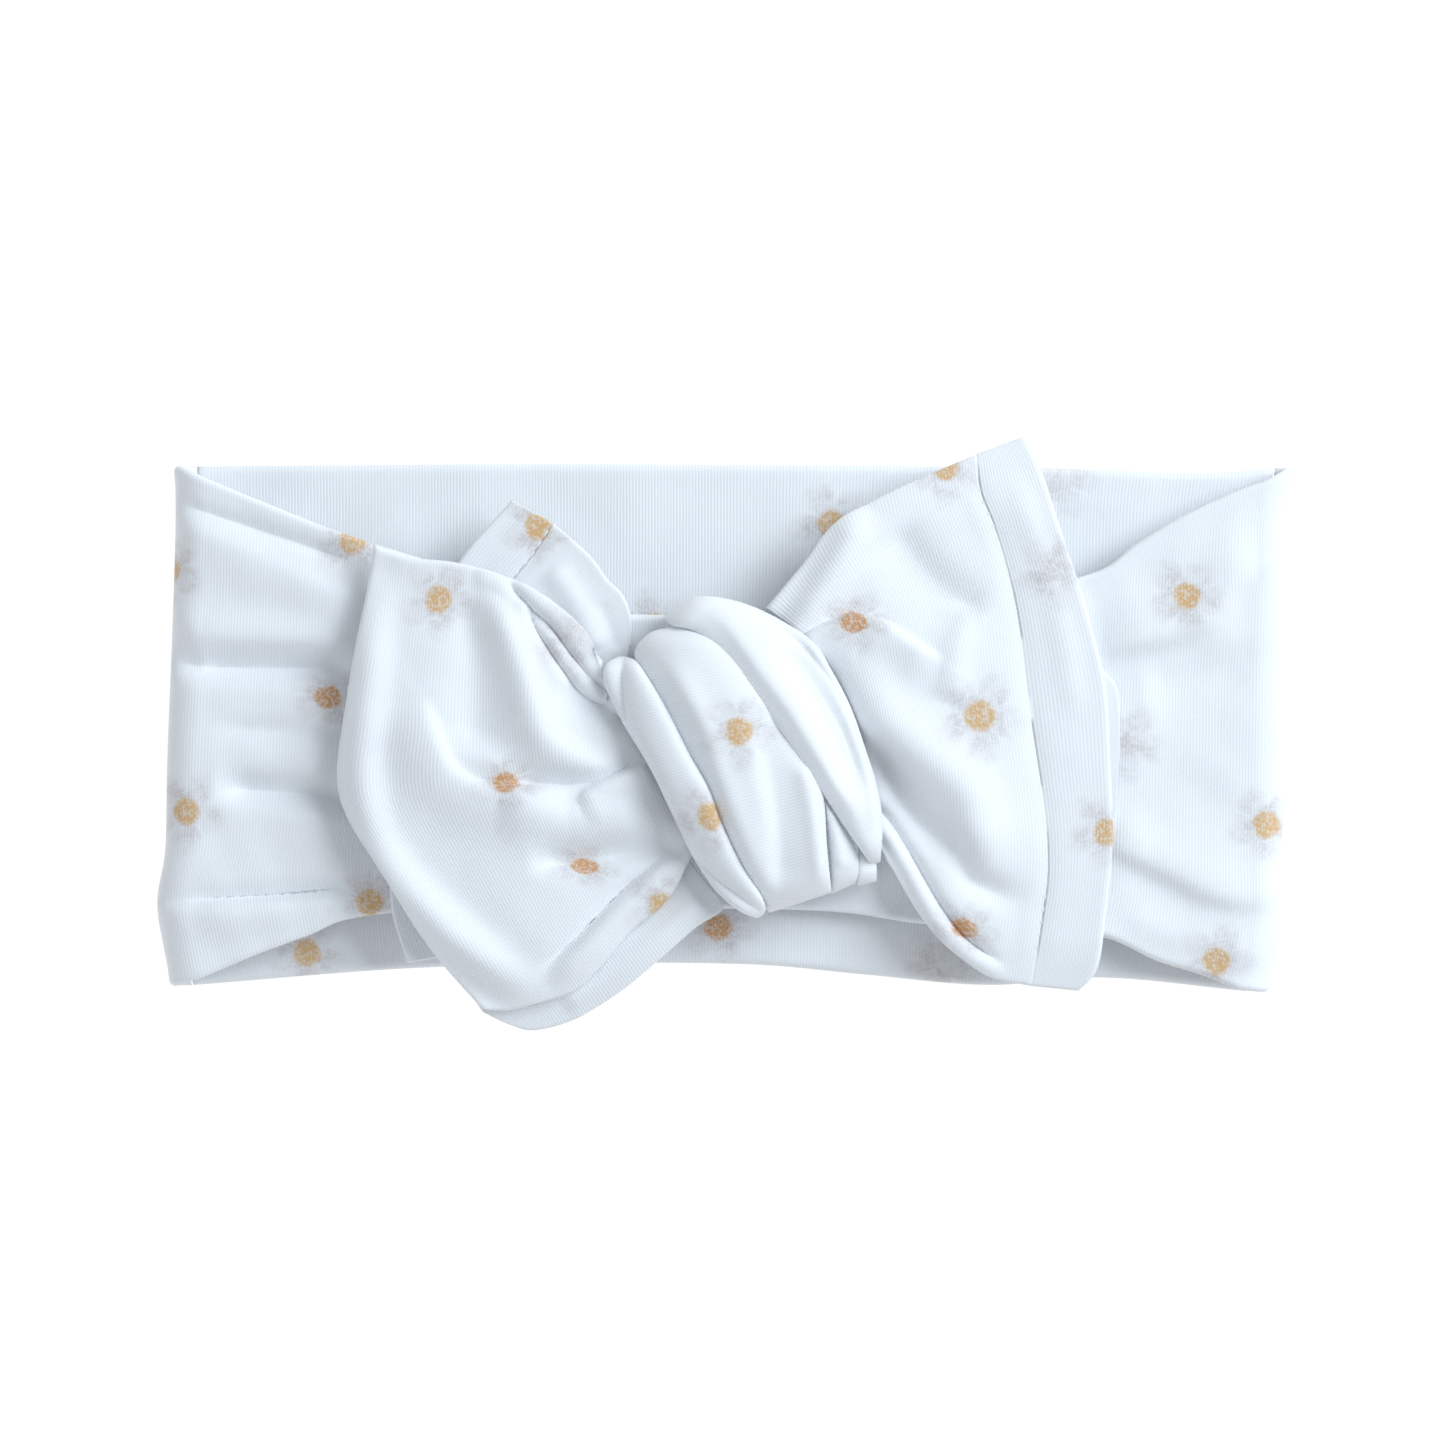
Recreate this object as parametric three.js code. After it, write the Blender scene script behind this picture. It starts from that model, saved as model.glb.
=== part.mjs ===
// A knotted headband lying flat, in millimetres, +Z up.
// The band is a flat tube of stretch jersey that goes round the head and is tied on itself at the front.
// Origin: middle of the outline, on the surface the band lies on. +X runs along the band, and the knot is at +Z.
import * as THREE from "three";

// ---- Driving dimensions ----
const HALF_LENGTH = 96.1; // flattened loop, to the outermost point of each side fold
const HALF_SPREAD = 50.05; // to the tip of the right tail, and to the lowest edge of the left loop
const FOLD_X = 88.5; // where the side folds meet the back and front panels
const PLY = 0.8; // one layer of the tube
const GAP = 0.3; // air between pieces that touch
const SEAM = 0.4; // plan gap between sections that lie side by side
const BACK_TOP = 2.8; // top of the back panel's two plies
const FRONT_LOW = 8.3; // underside of the front panels, so the head opening lies between
const FRONT_THICK = 1.8; // two plies of the front panels, gathered a little
const FRONT_MID = FRONT_LOW + FRONT_THICK / 2;
const BAND_EDGE_Y = 40; // beyond this, the loop and the tails hang over the edge of the band
const HANG = 0.4; // drop for each millimetre beyond it
const THREAD_RADIUS = 0.25;

// ---- Materials ----
const jersey = () => new THREE.MeshStandardMaterial({ color: 0xf2f5f8, roughness: 0.95, metalness: 0 });
const thread = () => new THREE.MeshStandardMaterial({ color: 0xe9edf1, roughness: 0.7, metalness: 0 });

// ---- Geometry helpers ----
const curve = (points) =>
  new THREE.CatmullRomCurve3(points.map((p) => new THREE.Vector3(...p)), false, "centripetal");

const level = (points, z) => points.map(([x, y]) => [x, y, z]);

const moved = (points, dx, dy, dz = 0) => points.map(([x, y, z]) => [x + dx, y + dy, z + dz]);

const atLeast = (value, limit) => Math.max(value, limit);

const hang = (y) => HANG * atLeast(Math.abs(y) - BAND_EDGE_Y, 0);

// A closed solid from two grids of points, (columns + 1) by (rows + 1) each: an upper and a lower surface.
function gridSolid(upper, lower, columns, rows) {
  const position = [];
  for (const grid of [upper, lower])
    for (const p of grid) position.push(p.x, p.y, p.z);
  const size = (columns + 1) * (rows + 1);
  const id = (i, j, side) => side * size + i * (rows + 1) + j;
  const index = [];
  const quad = (a, b, c, d) => index.push(a, b, c, a, c, d);
  for (let i = 0; i < columns; i++)
    for (let j = 0; j < rows; j++) {
      quad(id(i, j, 0), id(i, j + 1, 0), id(i + 1, j + 1, 0), id(i + 1, j, 0));
      quad(id(i, j, 1), id(i + 1, j, 1), id(i + 1, j + 1, 1), id(i, j + 1, 1));
    }
  for (let i = 0; i < columns; i++) {
    quad(id(i, 0, 0), id(i + 1, 0, 0), id(i + 1, 0, 1), id(i, 0, 1));
    quad(id(i + 1, rows, 0), id(i, rows, 0), id(i, rows, 1), id(i + 1, rows, 1));
  }
  for (let j = 0; j < rows; j++) {
    quad(id(0, j + 1, 0), id(0, j, 0), id(0, j, 1), id(0, j + 1, 1));
    quad(id(columns, j, 0), id(columns, j + 1, 0), id(columns, j + 1, 1), id(columns, j, 1));
  }
  const geometry = new THREE.BufferGeometry();
  geometry.setAttribute("position", new THREE.Float32BufferAttribute(position, 3));
  geometry.setIndex(index);
  return geometry;
}

// A Coons patch between four edges. Sides a and b run from the root to the end, root and end from side a to side b.
function coons({ sideA, sideB, root, end, crown = 0, hangs = false }) {
  const [a, b, r, e] = [sideA, sideB, root, end].map(curve);
  const corner = [a.getPointAt(0), b.getPointAt(0), a.getPointAt(1), b.getPointAt(1)];
  return (u, v) => {
    const point = a.getPointAt(u).multiplyScalar(1 - v);
    point.addScaledVector(b.getPointAt(u), v);
    point.addScaledVector(r.getPointAt(v), 1 - u);
    point.addScaledVector(e.getPointAt(v), u);
    point.addScaledVector(corner[0], -(1 - u) * (1 - v));
    point.addScaledVector(corner[1], -(1 - u) * v);
    point.addScaledVector(corner[2], -u * (1 - v));
    point.addScaledVector(corner[3], -u * v);
    point.z += crown * Math.sin(Math.PI * u) * Math.sin(Math.PI * v);
    if (hangs) point.z -= hang(point.y);
    return point;
  };
}

// A layer of cloth: the patch, thickened up and down by half its thickness.
function layer(edges, thickness, columns, rows) {
  const surface = coons(edges);
  const upper = [];
  const lower = [];
  for (let i = 0; i <= columns; i++)
    for (let j = 0; j <= rows; j++) {
      const point = surface(i / columns, j / rows);
      upper.push(new THREE.Vector3(point.x, point.y, point.z + thickness / 2));
      lower.push(new THREE.Vector3(point.x, point.y, point.z - thickness / 2));
    }
  const geometry = gridSolid(upper, lower, columns, rows);
  const a = surface(0.5, 0.5);
  const u = surface(0.6, 0.5).sub(a);
  const v = surface(0.5, 0.6).sub(a);
  const facesDown = u.x * v.y - u.y * v.x > 0;
  if (facesDown) geometry.index.array.reverse();
  return geometry;
}

// A layer whose two sides and two straight ends are enough to draw it.
function strip(sideA, sideB, thickness, columns, rows, { crown = 0, hangs = false } = {}) {
  const root = [sideA[0], sideB[0]];
  const end = [sideA.at(-1), sideB.at(-1)];
  return layer({ sideA, sideB, root, end, crown, hangs }, thickness, columns, rows);
}

// A flat ply, from its outline.
function ply(outline, low, thickness) {
  const shape = new THREE.Shape(outline.map(([x, y]) => new THREE.Vector2(x, y)));
  const geometry = new THREE.ExtrudeGeometry(shape, { depth: thickness, bevelEnabled: false });
  return geometry.translate(0, 0, low);
}

// A sewing thread laid along a line.
function stitchLine(points) {
  const section = new THREE.Shape();
  section.absarc(0, 0, THREAD_RADIUS, 0, 2 * Math.PI);
  return new THREE.ExtrudeGeometry(section, {
    extrudePath: curve(points),
    steps: 24,
    curveSegments: 3,
    bevelEnabled: false,
  });
}

// ---- Back panel: two plies with the long seam's allowance between them ----
const BACK_UPPER = [
  [FOLD_X - GAP, 44.8],
  [0, 45.4],
  [-FOLD_X + GAP, 45.1],
];
const BACK_LOWER = [
  [-FOLD_X + GAP, -42.6],
  [-49.4, -39.6],
  [4.4, -39.1],
  [24, -40.8],
  [46, -42.6],
  [64, -41.3],
  [FOLD_X - GAP, -43.6],
];
const SEAM_ALLOWANCE = 6; // width of the cloth turned inside along the long seam
const SEAM_ALLOWANCE_THICK = 0.6;

function seamAllowance() {
  const sewn = BACK_LOWER.map(([x, y]) => [x * 0.98, y + 1]);
  const cut = sewn.map(([x, y]) => [x, y + SEAM_ALLOWANCE]).reverse();
  return ply([...sewn, ...cut], PLY + GAP, SEAM_ALLOWANCE_THICK);
}

// ---- Side folds: the tube turned back over itself at each side of the loop ----
const LEFT_EDGE = [
  [-92.7, 45],
  [-93.4, 20],
  [-94.4, -5],
  [-94.8, -20],
  [-HALF_LENGTH, -28],
  [-95, -35],
  [-93.9, -42.6],
];
const RIGHT_EDGE = [
  [HALF_LENGTH, 44.6],
  [95.5, 22],
  [95, 0],
  [94.6, -20],
  [94.1, -34],
  [92, -43.4],
];
const FOLD_STATIONS = 12;
const FOLD_SEGMENTS = 8;
const FOLD_WALL = 1.5;

function sideFold(edgePoints) {
  const edge = curve(level(edgePoints, 0));
  const side = Math.sign(edgePoints[0][0]);
  const middle = (PLY + FRONT_MID) / 2;
  const half = (FRONT_MID - PLY) / 2;
  const outside = [];
  const inside = [];
  for (let i = 0; i <= FOLD_STATIONS; i++) {
    const station = edge.getPoint(i / FOLD_STATIONS);
    const reach = Math.abs(station.x) - FOLD_X;
    for (let j = 0; j <= FOLD_SEGMENTS; j++) {
      const turn = Math.PI * (j / FOLD_SEGMENTS - 0.5);
      const place = (width, height) =>
        new THREE.Vector3(
          side * (FOLD_X + width * Math.cos(turn)),
          station.y,
          middle + height * Math.sin(turn),
        );
      outside.push(place(reach, half + FOLD_WALL / 2));
      inside.push(place(atLeast(reach - FOLD_WALL, 1), half - FOLD_WALL / 2));
    }
  }
  const geometry = gridSolid(outside, inside, FOLD_STATIONS, FOLD_SEGMENTS);
  if (side < 0) geometry.index.array.reverse();
  return geometry;
}

// ---- Front panels: from the side folds to the gathered band under the knot ----
const UNDER_KNOT_X = 20; // half the length of the band that the knot grips
const GATHERED_TOP = 20;
const GATHERED_LOW = -30;
const GATHERED_MID = FRONT_MID + 0.3;

const frontLeft = () =>
  strip(
    [
      [-FOLD_X + GAP, 43.4, FRONT_MID],
      [-78, 39.1, FRONT_MID],
      [-64.5, 33.8, FRONT_MID],
      [-40, 26, GATHERED_MID],
      [-UNDER_KNOT_X - GAP, GATHERED_TOP, GATHERED_MID],
    ],
    [
      [-FOLD_X + GAP, -41.1, FRONT_MID],
      [-78, -37, FRONT_MID],
      [-63.7, -31.4, FRONT_MID],
      [-42, -29.4, GATHERED_MID],
      [-UNDER_KNOT_X - GAP, GATHERED_LOW, GATHERED_MID],
    ],
    FRONT_THICK,
    8,
    5,
  );

const frontRight = () =>
  strip(
    [
      [FOLD_X - GAP, 40.2, FRONT_MID],
      [74.9, 34.1, FRONT_MID],
      [63.2, 27.6, FRONT_MID],
      [42, 23, GATHERED_MID],
      [UNDER_KNOT_X + GAP, GATHERED_TOP, GATHERED_MID],
    ],
    [
      [FOLD_X - GAP, -43.4, FRONT_MID],
      [72.9, -38.3, FRONT_MID],
      [63.7, -34.4, FRONT_MID],
      [42, -32.4, GATHERED_MID],
      [UNDER_KNOT_X + GAP, GATHERED_LOW, GATHERED_MID],
    ],
    FRONT_THICK,
    8,
    5,
  );

const bandUnderKnot = () =>
  strip(
    level([[-UNDER_KNOT_X, GATHERED_TOP], [UNDER_KNOT_X, GATHERED_TOP]], GATHERED_MID),
    level([[-UNDER_KNOT_X, GATHERED_LOW], [UNDER_KNOT_X, GATHERED_LOW]], GATHERED_MID),
    FRONT_THICK,
    4,
    4,
  );

// ---- Knot: strands wrapped over a gathered core ----
const KNOT = { x: 5, y: -4, slant: -0.36, halfWidth: 20, halfLength: 28.5, low: 14.5, rise: 11.4 };
const STRAND_THICK = 4.6;
const STRAND_CROWN = 1.6;
const CORE_RADII = [12, 19, 3.9];
const CORE_HEIGHT = 14.9;

// Height of the knot's rounded top over a place in plan.
function knotHeight(x, y) {
  const across = (x - KNOT.x - KNOT.slant * (y - KNOT.y)) / KNOT.halfWidth;
  const along = (y - KNOT.y) / KNOT.halfLength;
  return KNOT.low + KNOT.rise * Math.sqrt(atLeast(1 - across ** 2 - along ** 2, 0.04));
}

const onKnot = (points, sunk = 0) =>
  points.map(([x, y]) => [x, y, knotHeight(x, y) - STRAND_THICK / 2 - sunk]);

const strand = (left, right, sunk = 0) =>
  strip(onKnot(left, sunk), onKnot(right, sunk), STRAND_THICK, 10, 6, { crown: STRAND_CROWN });

const leftRoll = () =>
  strand(
    [[-20, 10.6], [-17.1, 2.4], [-12.4, -5.4], [-6.2, -20], [0.5, -29]],
    [[-14.8, 11.9], [-9.8, 4.2], [-5.9, -3.5], [-0.5, -15], [7.5, -29.9]],
  );

const centreWrap = () =>
  strand(
    [[-14.4, 14.2], [-9.4, 4.4], [-5.5, -3.3], [0, -14.8], [8, -29.8]],
    [[-2.7, 15.9], [6.5, 3.4], [13.8, -6.9], [14.9, -11.3], [17.2, -26]],
  );

const rightWrap = () =>
  strand(
    [[-7.6, 20.4], [-2.2, 16.4], [7, 4], [14.9, -6.7], [22.8, -18.9], [25, -21.9]],
    [[-3.4, 23.2], [10.6, 18.1], [18.1, 10.4], [23.5, -2.7], [26.3, -14.3], [26.4, -20.4]],
  );

const tuckInner = () =>
  strand(
    [[15.5, -9.6], [15.7, -13], [17.8, -26]],
    [[16, -9.1], [19, -13.8], [22.4, -21.6]],
    2,
  );

const tuckOuter = () => strand([[22.8, -19.8], [22.4, -25.4]], [[24.9, -22.4], [24.4, -25]]);

const knotCore = () =>
  new THREE.SphereGeometry(1, 16, 10)
    .rotateX(Math.PI / 2)
    .scale(...CORE_RADII)
    .rotateZ(-KNOT.slant)
    .translate(KNOT.x, KNOT.y, CORE_HEIGHT);

// ---- Left loop: out from the knot, folded back under itself ----
const LOOP_THICK = 1.2;
const LOOP_MID = 14.8;
const LOOP_UNDER_MID = 13.4;
const THROAT_RISE = 1.6; // the loop and the right tail climb into the knot

// Where the two narrow rolls beside the loop's upper layer begin.
const ROLL_SIDE = [
  [-20.4, 4.2, LOOP_MID + THROAT_RISE],
  [-25.9, 8.7, LOOP_MID],
  [-29.4, 13.9, LOOP_MID],
  [-33, 20, LOOP_MID],
  [-39.3, 26.7, LOOP_MID],
];
// Where the broad fold along the loop's lower right begins.
const BAND_SIDE = [
  [-8.6, -19.2, LOOP_MID + THROAT_RISE],
  [-15.8, -24.2, LOOP_MID],
  [-23.8, -33.8, LOOP_MID],
  [-30.5, -45.6, LOOP_MID],
];

const loopUpper = () =>
  layer(
    {
      sideA: [...ROLL_SIDE, [-45, 28.6, LOOP_MID], [-58.6, 31.5, LOOP_MID]],
      sideB: [...BAND_SIDE, [-36, -46.4, LOOP_MID], [-40.5, -46.2, LOOP_MID]],
      root: [ROLL_SIDE[0], [-15.4, -5.4, LOOP_MID + THROAT_RISE], BAND_SIDE[0]],
      end: [
        [-58.6, 31.5, LOOP_MID],
        [-61.5, 13.4, LOOP_MID],
        [-64.5, -7.6, LOOP_MID],
        [-58.1, -21.3, LOOP_MID],
        [-50.4, -33.8, LOOP_MID],
        [-40.5, -46.2, LOOP_MID],
      ],
      crown: 2.6,
      hangs: true,
    },
    LOOP_THICK,
    12,
    12,
  );

const loopRoll = () =>
  strip(
    moved(ROLL_SIDE, SEAM, SEAM / 2),
    [
      [-21.4, 8.8, LOOP_MID + THROAT_RISE],
      [-21.6, 13.4, LOOP_MID],
      [-26.9, 20.5, LOOP_MID],
      [-33.6, 25, LOOP_MID],
      [-38.4, 27.4, LOOP_MID],
    ],
    LOOP_THICK,
    8,
    3,
    { crown: 0.8 },
  );

const loopFoldBand = () =>
  strip(
    moved(BAND_SIDE, 2 * SEAM, -SEAM / 4),
    [
      [-7.4, -21.6, LOOP_MID + THROAT_RISE],
      [-10.6, -29.1, LOOP_MID],
      [-20.3, -38.5, LOOP_MID],
      [-26.5, -44.6, LOOP_MID],
    ],
    LOOP_THICK,
    8,
    3,
    { crown: 0.8, hangs: true },
  );

const loopUnder = () =>
  layer(
    {
      sideA: level([[-17.5, 2, 0], [-38, 10, 0], [-57, 18, 0]], LOOP_UNDER_MID),
      sideB: [
        [-3.4, -28.6, LOOP_UNDER_MID],
        [-16.5, -42.4, LOOP_UNDER_MID],
        [-24, -47.6, LOOP_UNDER_MID],
        [-33, -HALF_SPREAD, LOOP_UNDER_MID],
        [-40.5, -46.8, LOOP_UNDER_MID],
      ],
      root: level([[-17.5, 2, 0], [-10, -15, 0], [-3.4, -28.6, 0]], LOOP_UNDER_MID),
      end: [
        [-57, 18, LOOP_UNDER_MID],
        [-62.5, -8, LOOP_UNDER_MID],
        [-51, -31, LOOP_UNDER_MID],
        [-40.5, -46.8, LOOP_UNDER_MID],
      ],
      hangs: true,
    },
    PLY,
    10,
    10,
  );

// ---- Left tail end: the hemmed end of the strip, lying under the loop ----
const TAIL_MID = 11.4;
const TAIL_THICK = 1;
const LEFT_HEM_LINE = level([[-30, 33.4], [-38.3, 20], [-46, -6], [-48, -28], [-45, -37.2]], TAIL_MID);
const LEFT_HEM_EDGE = level([[-36.2, 39], [-46, 24.5], [-54, -5], [-56, -28], [-53.2, -38.6]], TAIL_MID);

const leftTail = () =>
  layer(
    {
      sideA: level([[-20.6, 10.6], [-16.2, 18], [-21.7, 29.1], [-29.6, 33.2]], TAIL_MID),
      sideB: level([[-9, -22], [-27, -33], [-44.6, -37.2]], TAIL_MID),
      root: level([[-20.6, 10.6], [-15, -6], [-9, -22]], TAIL_MID),
      end: moved(LEFT_HEM_LINE, SEAM, 0),
    },
    TAIL_THICK,
    8,
    8,
  );

const leftHem = () => strip(LEFT_HEM_LINE, LEFT_HEM_EDGE, TAIL_THICK, 10, 2);

// ---- Right tail: spread open, hemmed at its end ----
const RIGHT_MID = 12.8;
const RIGHT_UNDER_MID = 11.3;
const RIGHT_HEM_LINE = [
  [42.2, 45.8, RIGHT_MID],
  [45.2, 34.6, RIGHT_MID],
  [48.7, 21.8, RIGHT_MID],
  [51.4, 3, RIGHT_MID],
  [54, -20, RIGHT_MID],
  [51.4, -41.4, RIGHT_MID],
];
const RIGHT_HEM_EDGE = [
  [50.2, HALF_SPREAD, RIGHT_MID],
  [55.8, 36.3, RIGHT_MID],
  [60.5, 21.8, RIGHT_MID],
  [64.4, 3, RIGHT_MID],
  [65.2, -18.5, RIGHT_MID],
  [60, -43, RIGHT_MID],
];
// Where the two pleats along the tail's lower edge begin.
const PLEAT_SIDE = [
  [27.6, -13.4, RIGHT_MID + THROAT_RISE],
  [33.6, -24, RIGHT_MID],
  [40.3, -33.8, RIGHT_MID],
  [50.9, -41, RIGHT_MID],
];

const rightUpper = () =>
  layer(
    {
      sideA: [
        [9.6, 23.4, RIGHT_MID + THROAT_RISE],
        [13.8, 29.1, RIGHT_MID],
        [19.8, 36, RIGHT_MID],
        [30.1, 41.5, RIGHT_MID],
        [41.8, 45.8, RIGHT_MID],
      ],
      sideB: PLEAT_SIDE,
      root: [
        [9.6, 23.4, RIGHT_MID + THROAT_RISE],
        [19, 11.4, RIGHT_MID + THROAT_RISE],
        [24.4, -1.6, RIGHT_MID + THROAT_RISE],
        [27.6, -13.4, RIGHT_MID + THROAT_RISE],
      ],
      end: moved(RIGHT_HEM_LINE, -SEAM, 0),
      crown: 3,
      hangs: true,
    },
    LOOP_THICK,
    12,
    12,
  );

const rightPleats = () =>
  strip(
    moved(PLEAT_SIDE, -SEAM / 4, -SEAM),
    [
      [26.9, -19, RIGHT_MID + THROAT_RISE / 2],
      [33, -31, RIGHT_MID],
      [40.3, -38.6, RIGHT_MID],
      [50.6, -42.6, RIGHT_MID],
    ],
    LOOP_THICK,
    8,
    2,
    { hangs: true },
  );

const rightHem = () => strip(RIGHT_HEM_EDGE, RIGHT_HEM_LINE, LOOP_THICK, 10, 2, { hangs: true });

const rightUnder = () =>
  strip(
    level([[26, 18], [34, 30], [52, 38], [60, 21.8], [66.6, 3], [65.8, -16]], RIGHT_UNDER_MID),
    level([[28, 10], [28, -6], [30, -16], [38, -29], [50, -36.5], [60, -37]], RIGHT_UNDER_MID),
    PLY,
    12,
    4,
  );

// ---- Hem stitching, laid just above the cloth ----
const onCloth = (line, thickness) =>
  moved(line, 0, 0, thickness / 2 + GAP + 2 * THREAD_RADIUS).map(([x, y, z]) => [x, y, z - hang(y)]);

// ---- Assembly ----
const band = new THREE.Group();

function add(name, geometry, material = jersey()) {
  const mesh = new THREE.Mesh(geometry, material);
  mesh.name = name;
  band.add(mesh);
}

add("back_panel_outer", ply([...BACK_UPPER, ...BACK_LOWER], 0, PLY));
add("back_panel_inner", ply([...BACK_UPPER, ...BACK_LOWER], BACK_TOP - PLY, PLY));
add("back_seam_allowance", seamAllowance());
add("left_side_fold", sideFold(LEFT_EDGE));
add("right_side_fold", sideFold(RIGHT_EDGE));
add("front_left_panel", frontLeft());
add("front_right_panel", frontRight());
add("band_under_knot", bandUnderKnot());
add("knot_core", knotCore());
add("knot_left_roll", leftRoll());
add("knot_centre_wrap", centreWrap());
add("knot_right_wrap", rightWrap());
add("knot_tuck_inner", tuckInner());
add("knot_tuck_outer", tuckOuter());
add("left_loop_upper", loopUpper());
add("left_loop_roll", loopRoll());
add("left_loop_fold_band", loopFoldBand());
add("left_loop_under", loopUnder());
add("left_tail_panel", leftTail());
add("left_tail_hem", leftHem());
add("left_hem_stitching", stitchLine(onCloth(LEFT_HEM_LINE, TAIL_THICK)), thread());
add("right_tail_upper", rightUpper());
add("right_tail_lower_fold", rightPleats());
add("right_tail_hem", rightHem());
add("right_tail_under", rightUnder());
add("right_hem_stitching", stitchLine(onCloth(RIGHT_HEM_LINE, LOOP_THICK)), thread());

export default band;
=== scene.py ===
import math

import bpy
import numpy as np
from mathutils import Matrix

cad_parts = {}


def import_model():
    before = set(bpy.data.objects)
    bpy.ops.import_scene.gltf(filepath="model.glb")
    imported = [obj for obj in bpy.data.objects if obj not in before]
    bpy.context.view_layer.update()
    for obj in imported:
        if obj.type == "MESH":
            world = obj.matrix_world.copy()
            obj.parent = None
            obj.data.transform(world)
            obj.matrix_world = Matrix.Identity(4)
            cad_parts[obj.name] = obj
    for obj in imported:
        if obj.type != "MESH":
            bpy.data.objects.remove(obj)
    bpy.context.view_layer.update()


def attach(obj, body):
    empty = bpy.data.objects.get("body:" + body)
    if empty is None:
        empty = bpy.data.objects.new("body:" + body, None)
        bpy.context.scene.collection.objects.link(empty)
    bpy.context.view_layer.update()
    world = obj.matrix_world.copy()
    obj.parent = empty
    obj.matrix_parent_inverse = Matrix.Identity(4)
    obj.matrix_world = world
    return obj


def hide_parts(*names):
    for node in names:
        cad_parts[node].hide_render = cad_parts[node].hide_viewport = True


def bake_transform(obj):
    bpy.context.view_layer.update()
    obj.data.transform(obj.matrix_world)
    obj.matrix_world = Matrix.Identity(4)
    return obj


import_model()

# ---- The object's own sizes, in millimetres ----
MM = 0.001
VIEW_WIDTH = 242.8  # what the camera sees across
VIEW_CENTRE = (-0.25, 1.8)
FOLD_X = 88.5  # where the side folds meet the panels
UNDER_KNOT_X = 20  # half the length of band that the knot grips
SEAM_GAP = 0.3  # air between pieces that meet
PLY = 0.8
BACK_TOP = 2.8
FRONT_MID = 9.2
GATHERED_MID = 9.5
PANEL_THICK = 1.7
TAIL_MID = 11.4
LOOP_UNDER_MID = 13.2
LOOP_MID = 14.8
RIGHT_UNDER_MID = 10.95
RIGHT_MID = 12.8
LAYER_THICK = 1.2
BAND_EDGE_Y = 40  # the loop and the tails hang over the band's edge beyond this
HANG = 0.4  # how steeply they hang down there
HANG_TURN = 12  # they bend down over this much of their length
LOOP_DROOP = 0.26
LOOP_DROOP_X = 52  # the loop's left side droops towards the panel beyond this far to the left
LOOP_DROOP_TURN = 8
WALE = 0.54  # pitch of the jersey's ribs
DAISY = 15  # across the petals
FINE = 0.55  # mesh step on cloth that folds
COARSE = 1.1

# ---- Curves and surfaces ----


def smooth(x):
    """0 below 0, 1 above 1, and an easy turn between."""
    x = np.clip(x, 0, 1)
    return x * x * (3 - 2 * x)


def arc_lengths(line):
    step = np.linalg.norm(np.diff(line, axis=0), axis=-1)
    return np.concatenate([np.zeros((1,) + step.shape[1:]), np.cumsum(step, axis=0)])


def spline(points, at):
    """The places at these fractions of the length of a smooth curve through the points."""
    p = np.asarray(points, float)
    if len(p) > 2:
        q = [2 * p[0] - p[1], *p, 2 * p[-1] - p[-2]]
        fine = [catmull(*four) for four in zip(q, q[1:], q[2:], q[3:])]
        p = np.concatenate([*fine, p[-1:]])
    run = arc_lengths(p)
    at = np.asarray(at) * run[-1]
    return np.stack([np.interp(at, run, p[:, k]) for k in range(p.shape[1])], axis=1)


def catmull(a, b, c, d):
    """Sixteen points of a centripetal Catmull-Rom curve, from b to c."""
    k0 = 0
    k1 = k0 + max(np.linalg.norm(b - a), 1e-6) ** 0.5
    k2 = k1 + max(np.linalg.norm(c - b), 1e-6) ** 0.5
    k3 = k2 + max(np.linalg.norm(d - c), 1e-6) ** 0.5
    t = np.linspace(k1, k2, 17)[:-1, None]
    ab = ((k1 - t) * a + (t - k0) * b) / (k1 - k0)
    bc = ((k2 - t) * b + (t - k1) * c) / (k2 - k1)
    cd = ((k3 - t) * c + (t - k2) * d) / (k3 - k2)
    abc = ((k2 - t) * ab + (t - k0) * bc) / (k2 - k0)
    bcd = ((k3 - t) * bc + (t - k1) * cd) / (k3 - k1)
    return ((k2 - t) * abc + (t - k1) * bcd) / (k2 - k1)


def fractions(length, step, first, last):
    """Fractions of a length, a step apart, and closer where the ends turn round with these radii."""
    turn = 1 - np.cos(np.linspace(0, np.pi / 2, 6))[:-1]
    inner = np.linspace(first, length - last, max(int(length / step), 3))
    return np.concatenate([turn * first, inner, length - (turn * last)[::-1]]) / length


def coons(side_a, side_b, root, end, u, v):
    """A patch between four edges.

    The sides run from the root to the end, and the root and the end from side a to side b.
    """
    a, b = spline(side_a, u)[:, None], spline(side_b, u)[:, None]
    r, e = spline(root, v)[None], spline(end, v)[None]
    u, v = u[:, None, None], v[None, :, None]
    corners = (1 - u) * ((1 - v) * a[:1] + v * b[:1]) + u * ((1 - v) * a[-1:] + v * b[-1:])
    return (1 - v) * a + v * b + (1 - u) * r + u * e - corners


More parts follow.
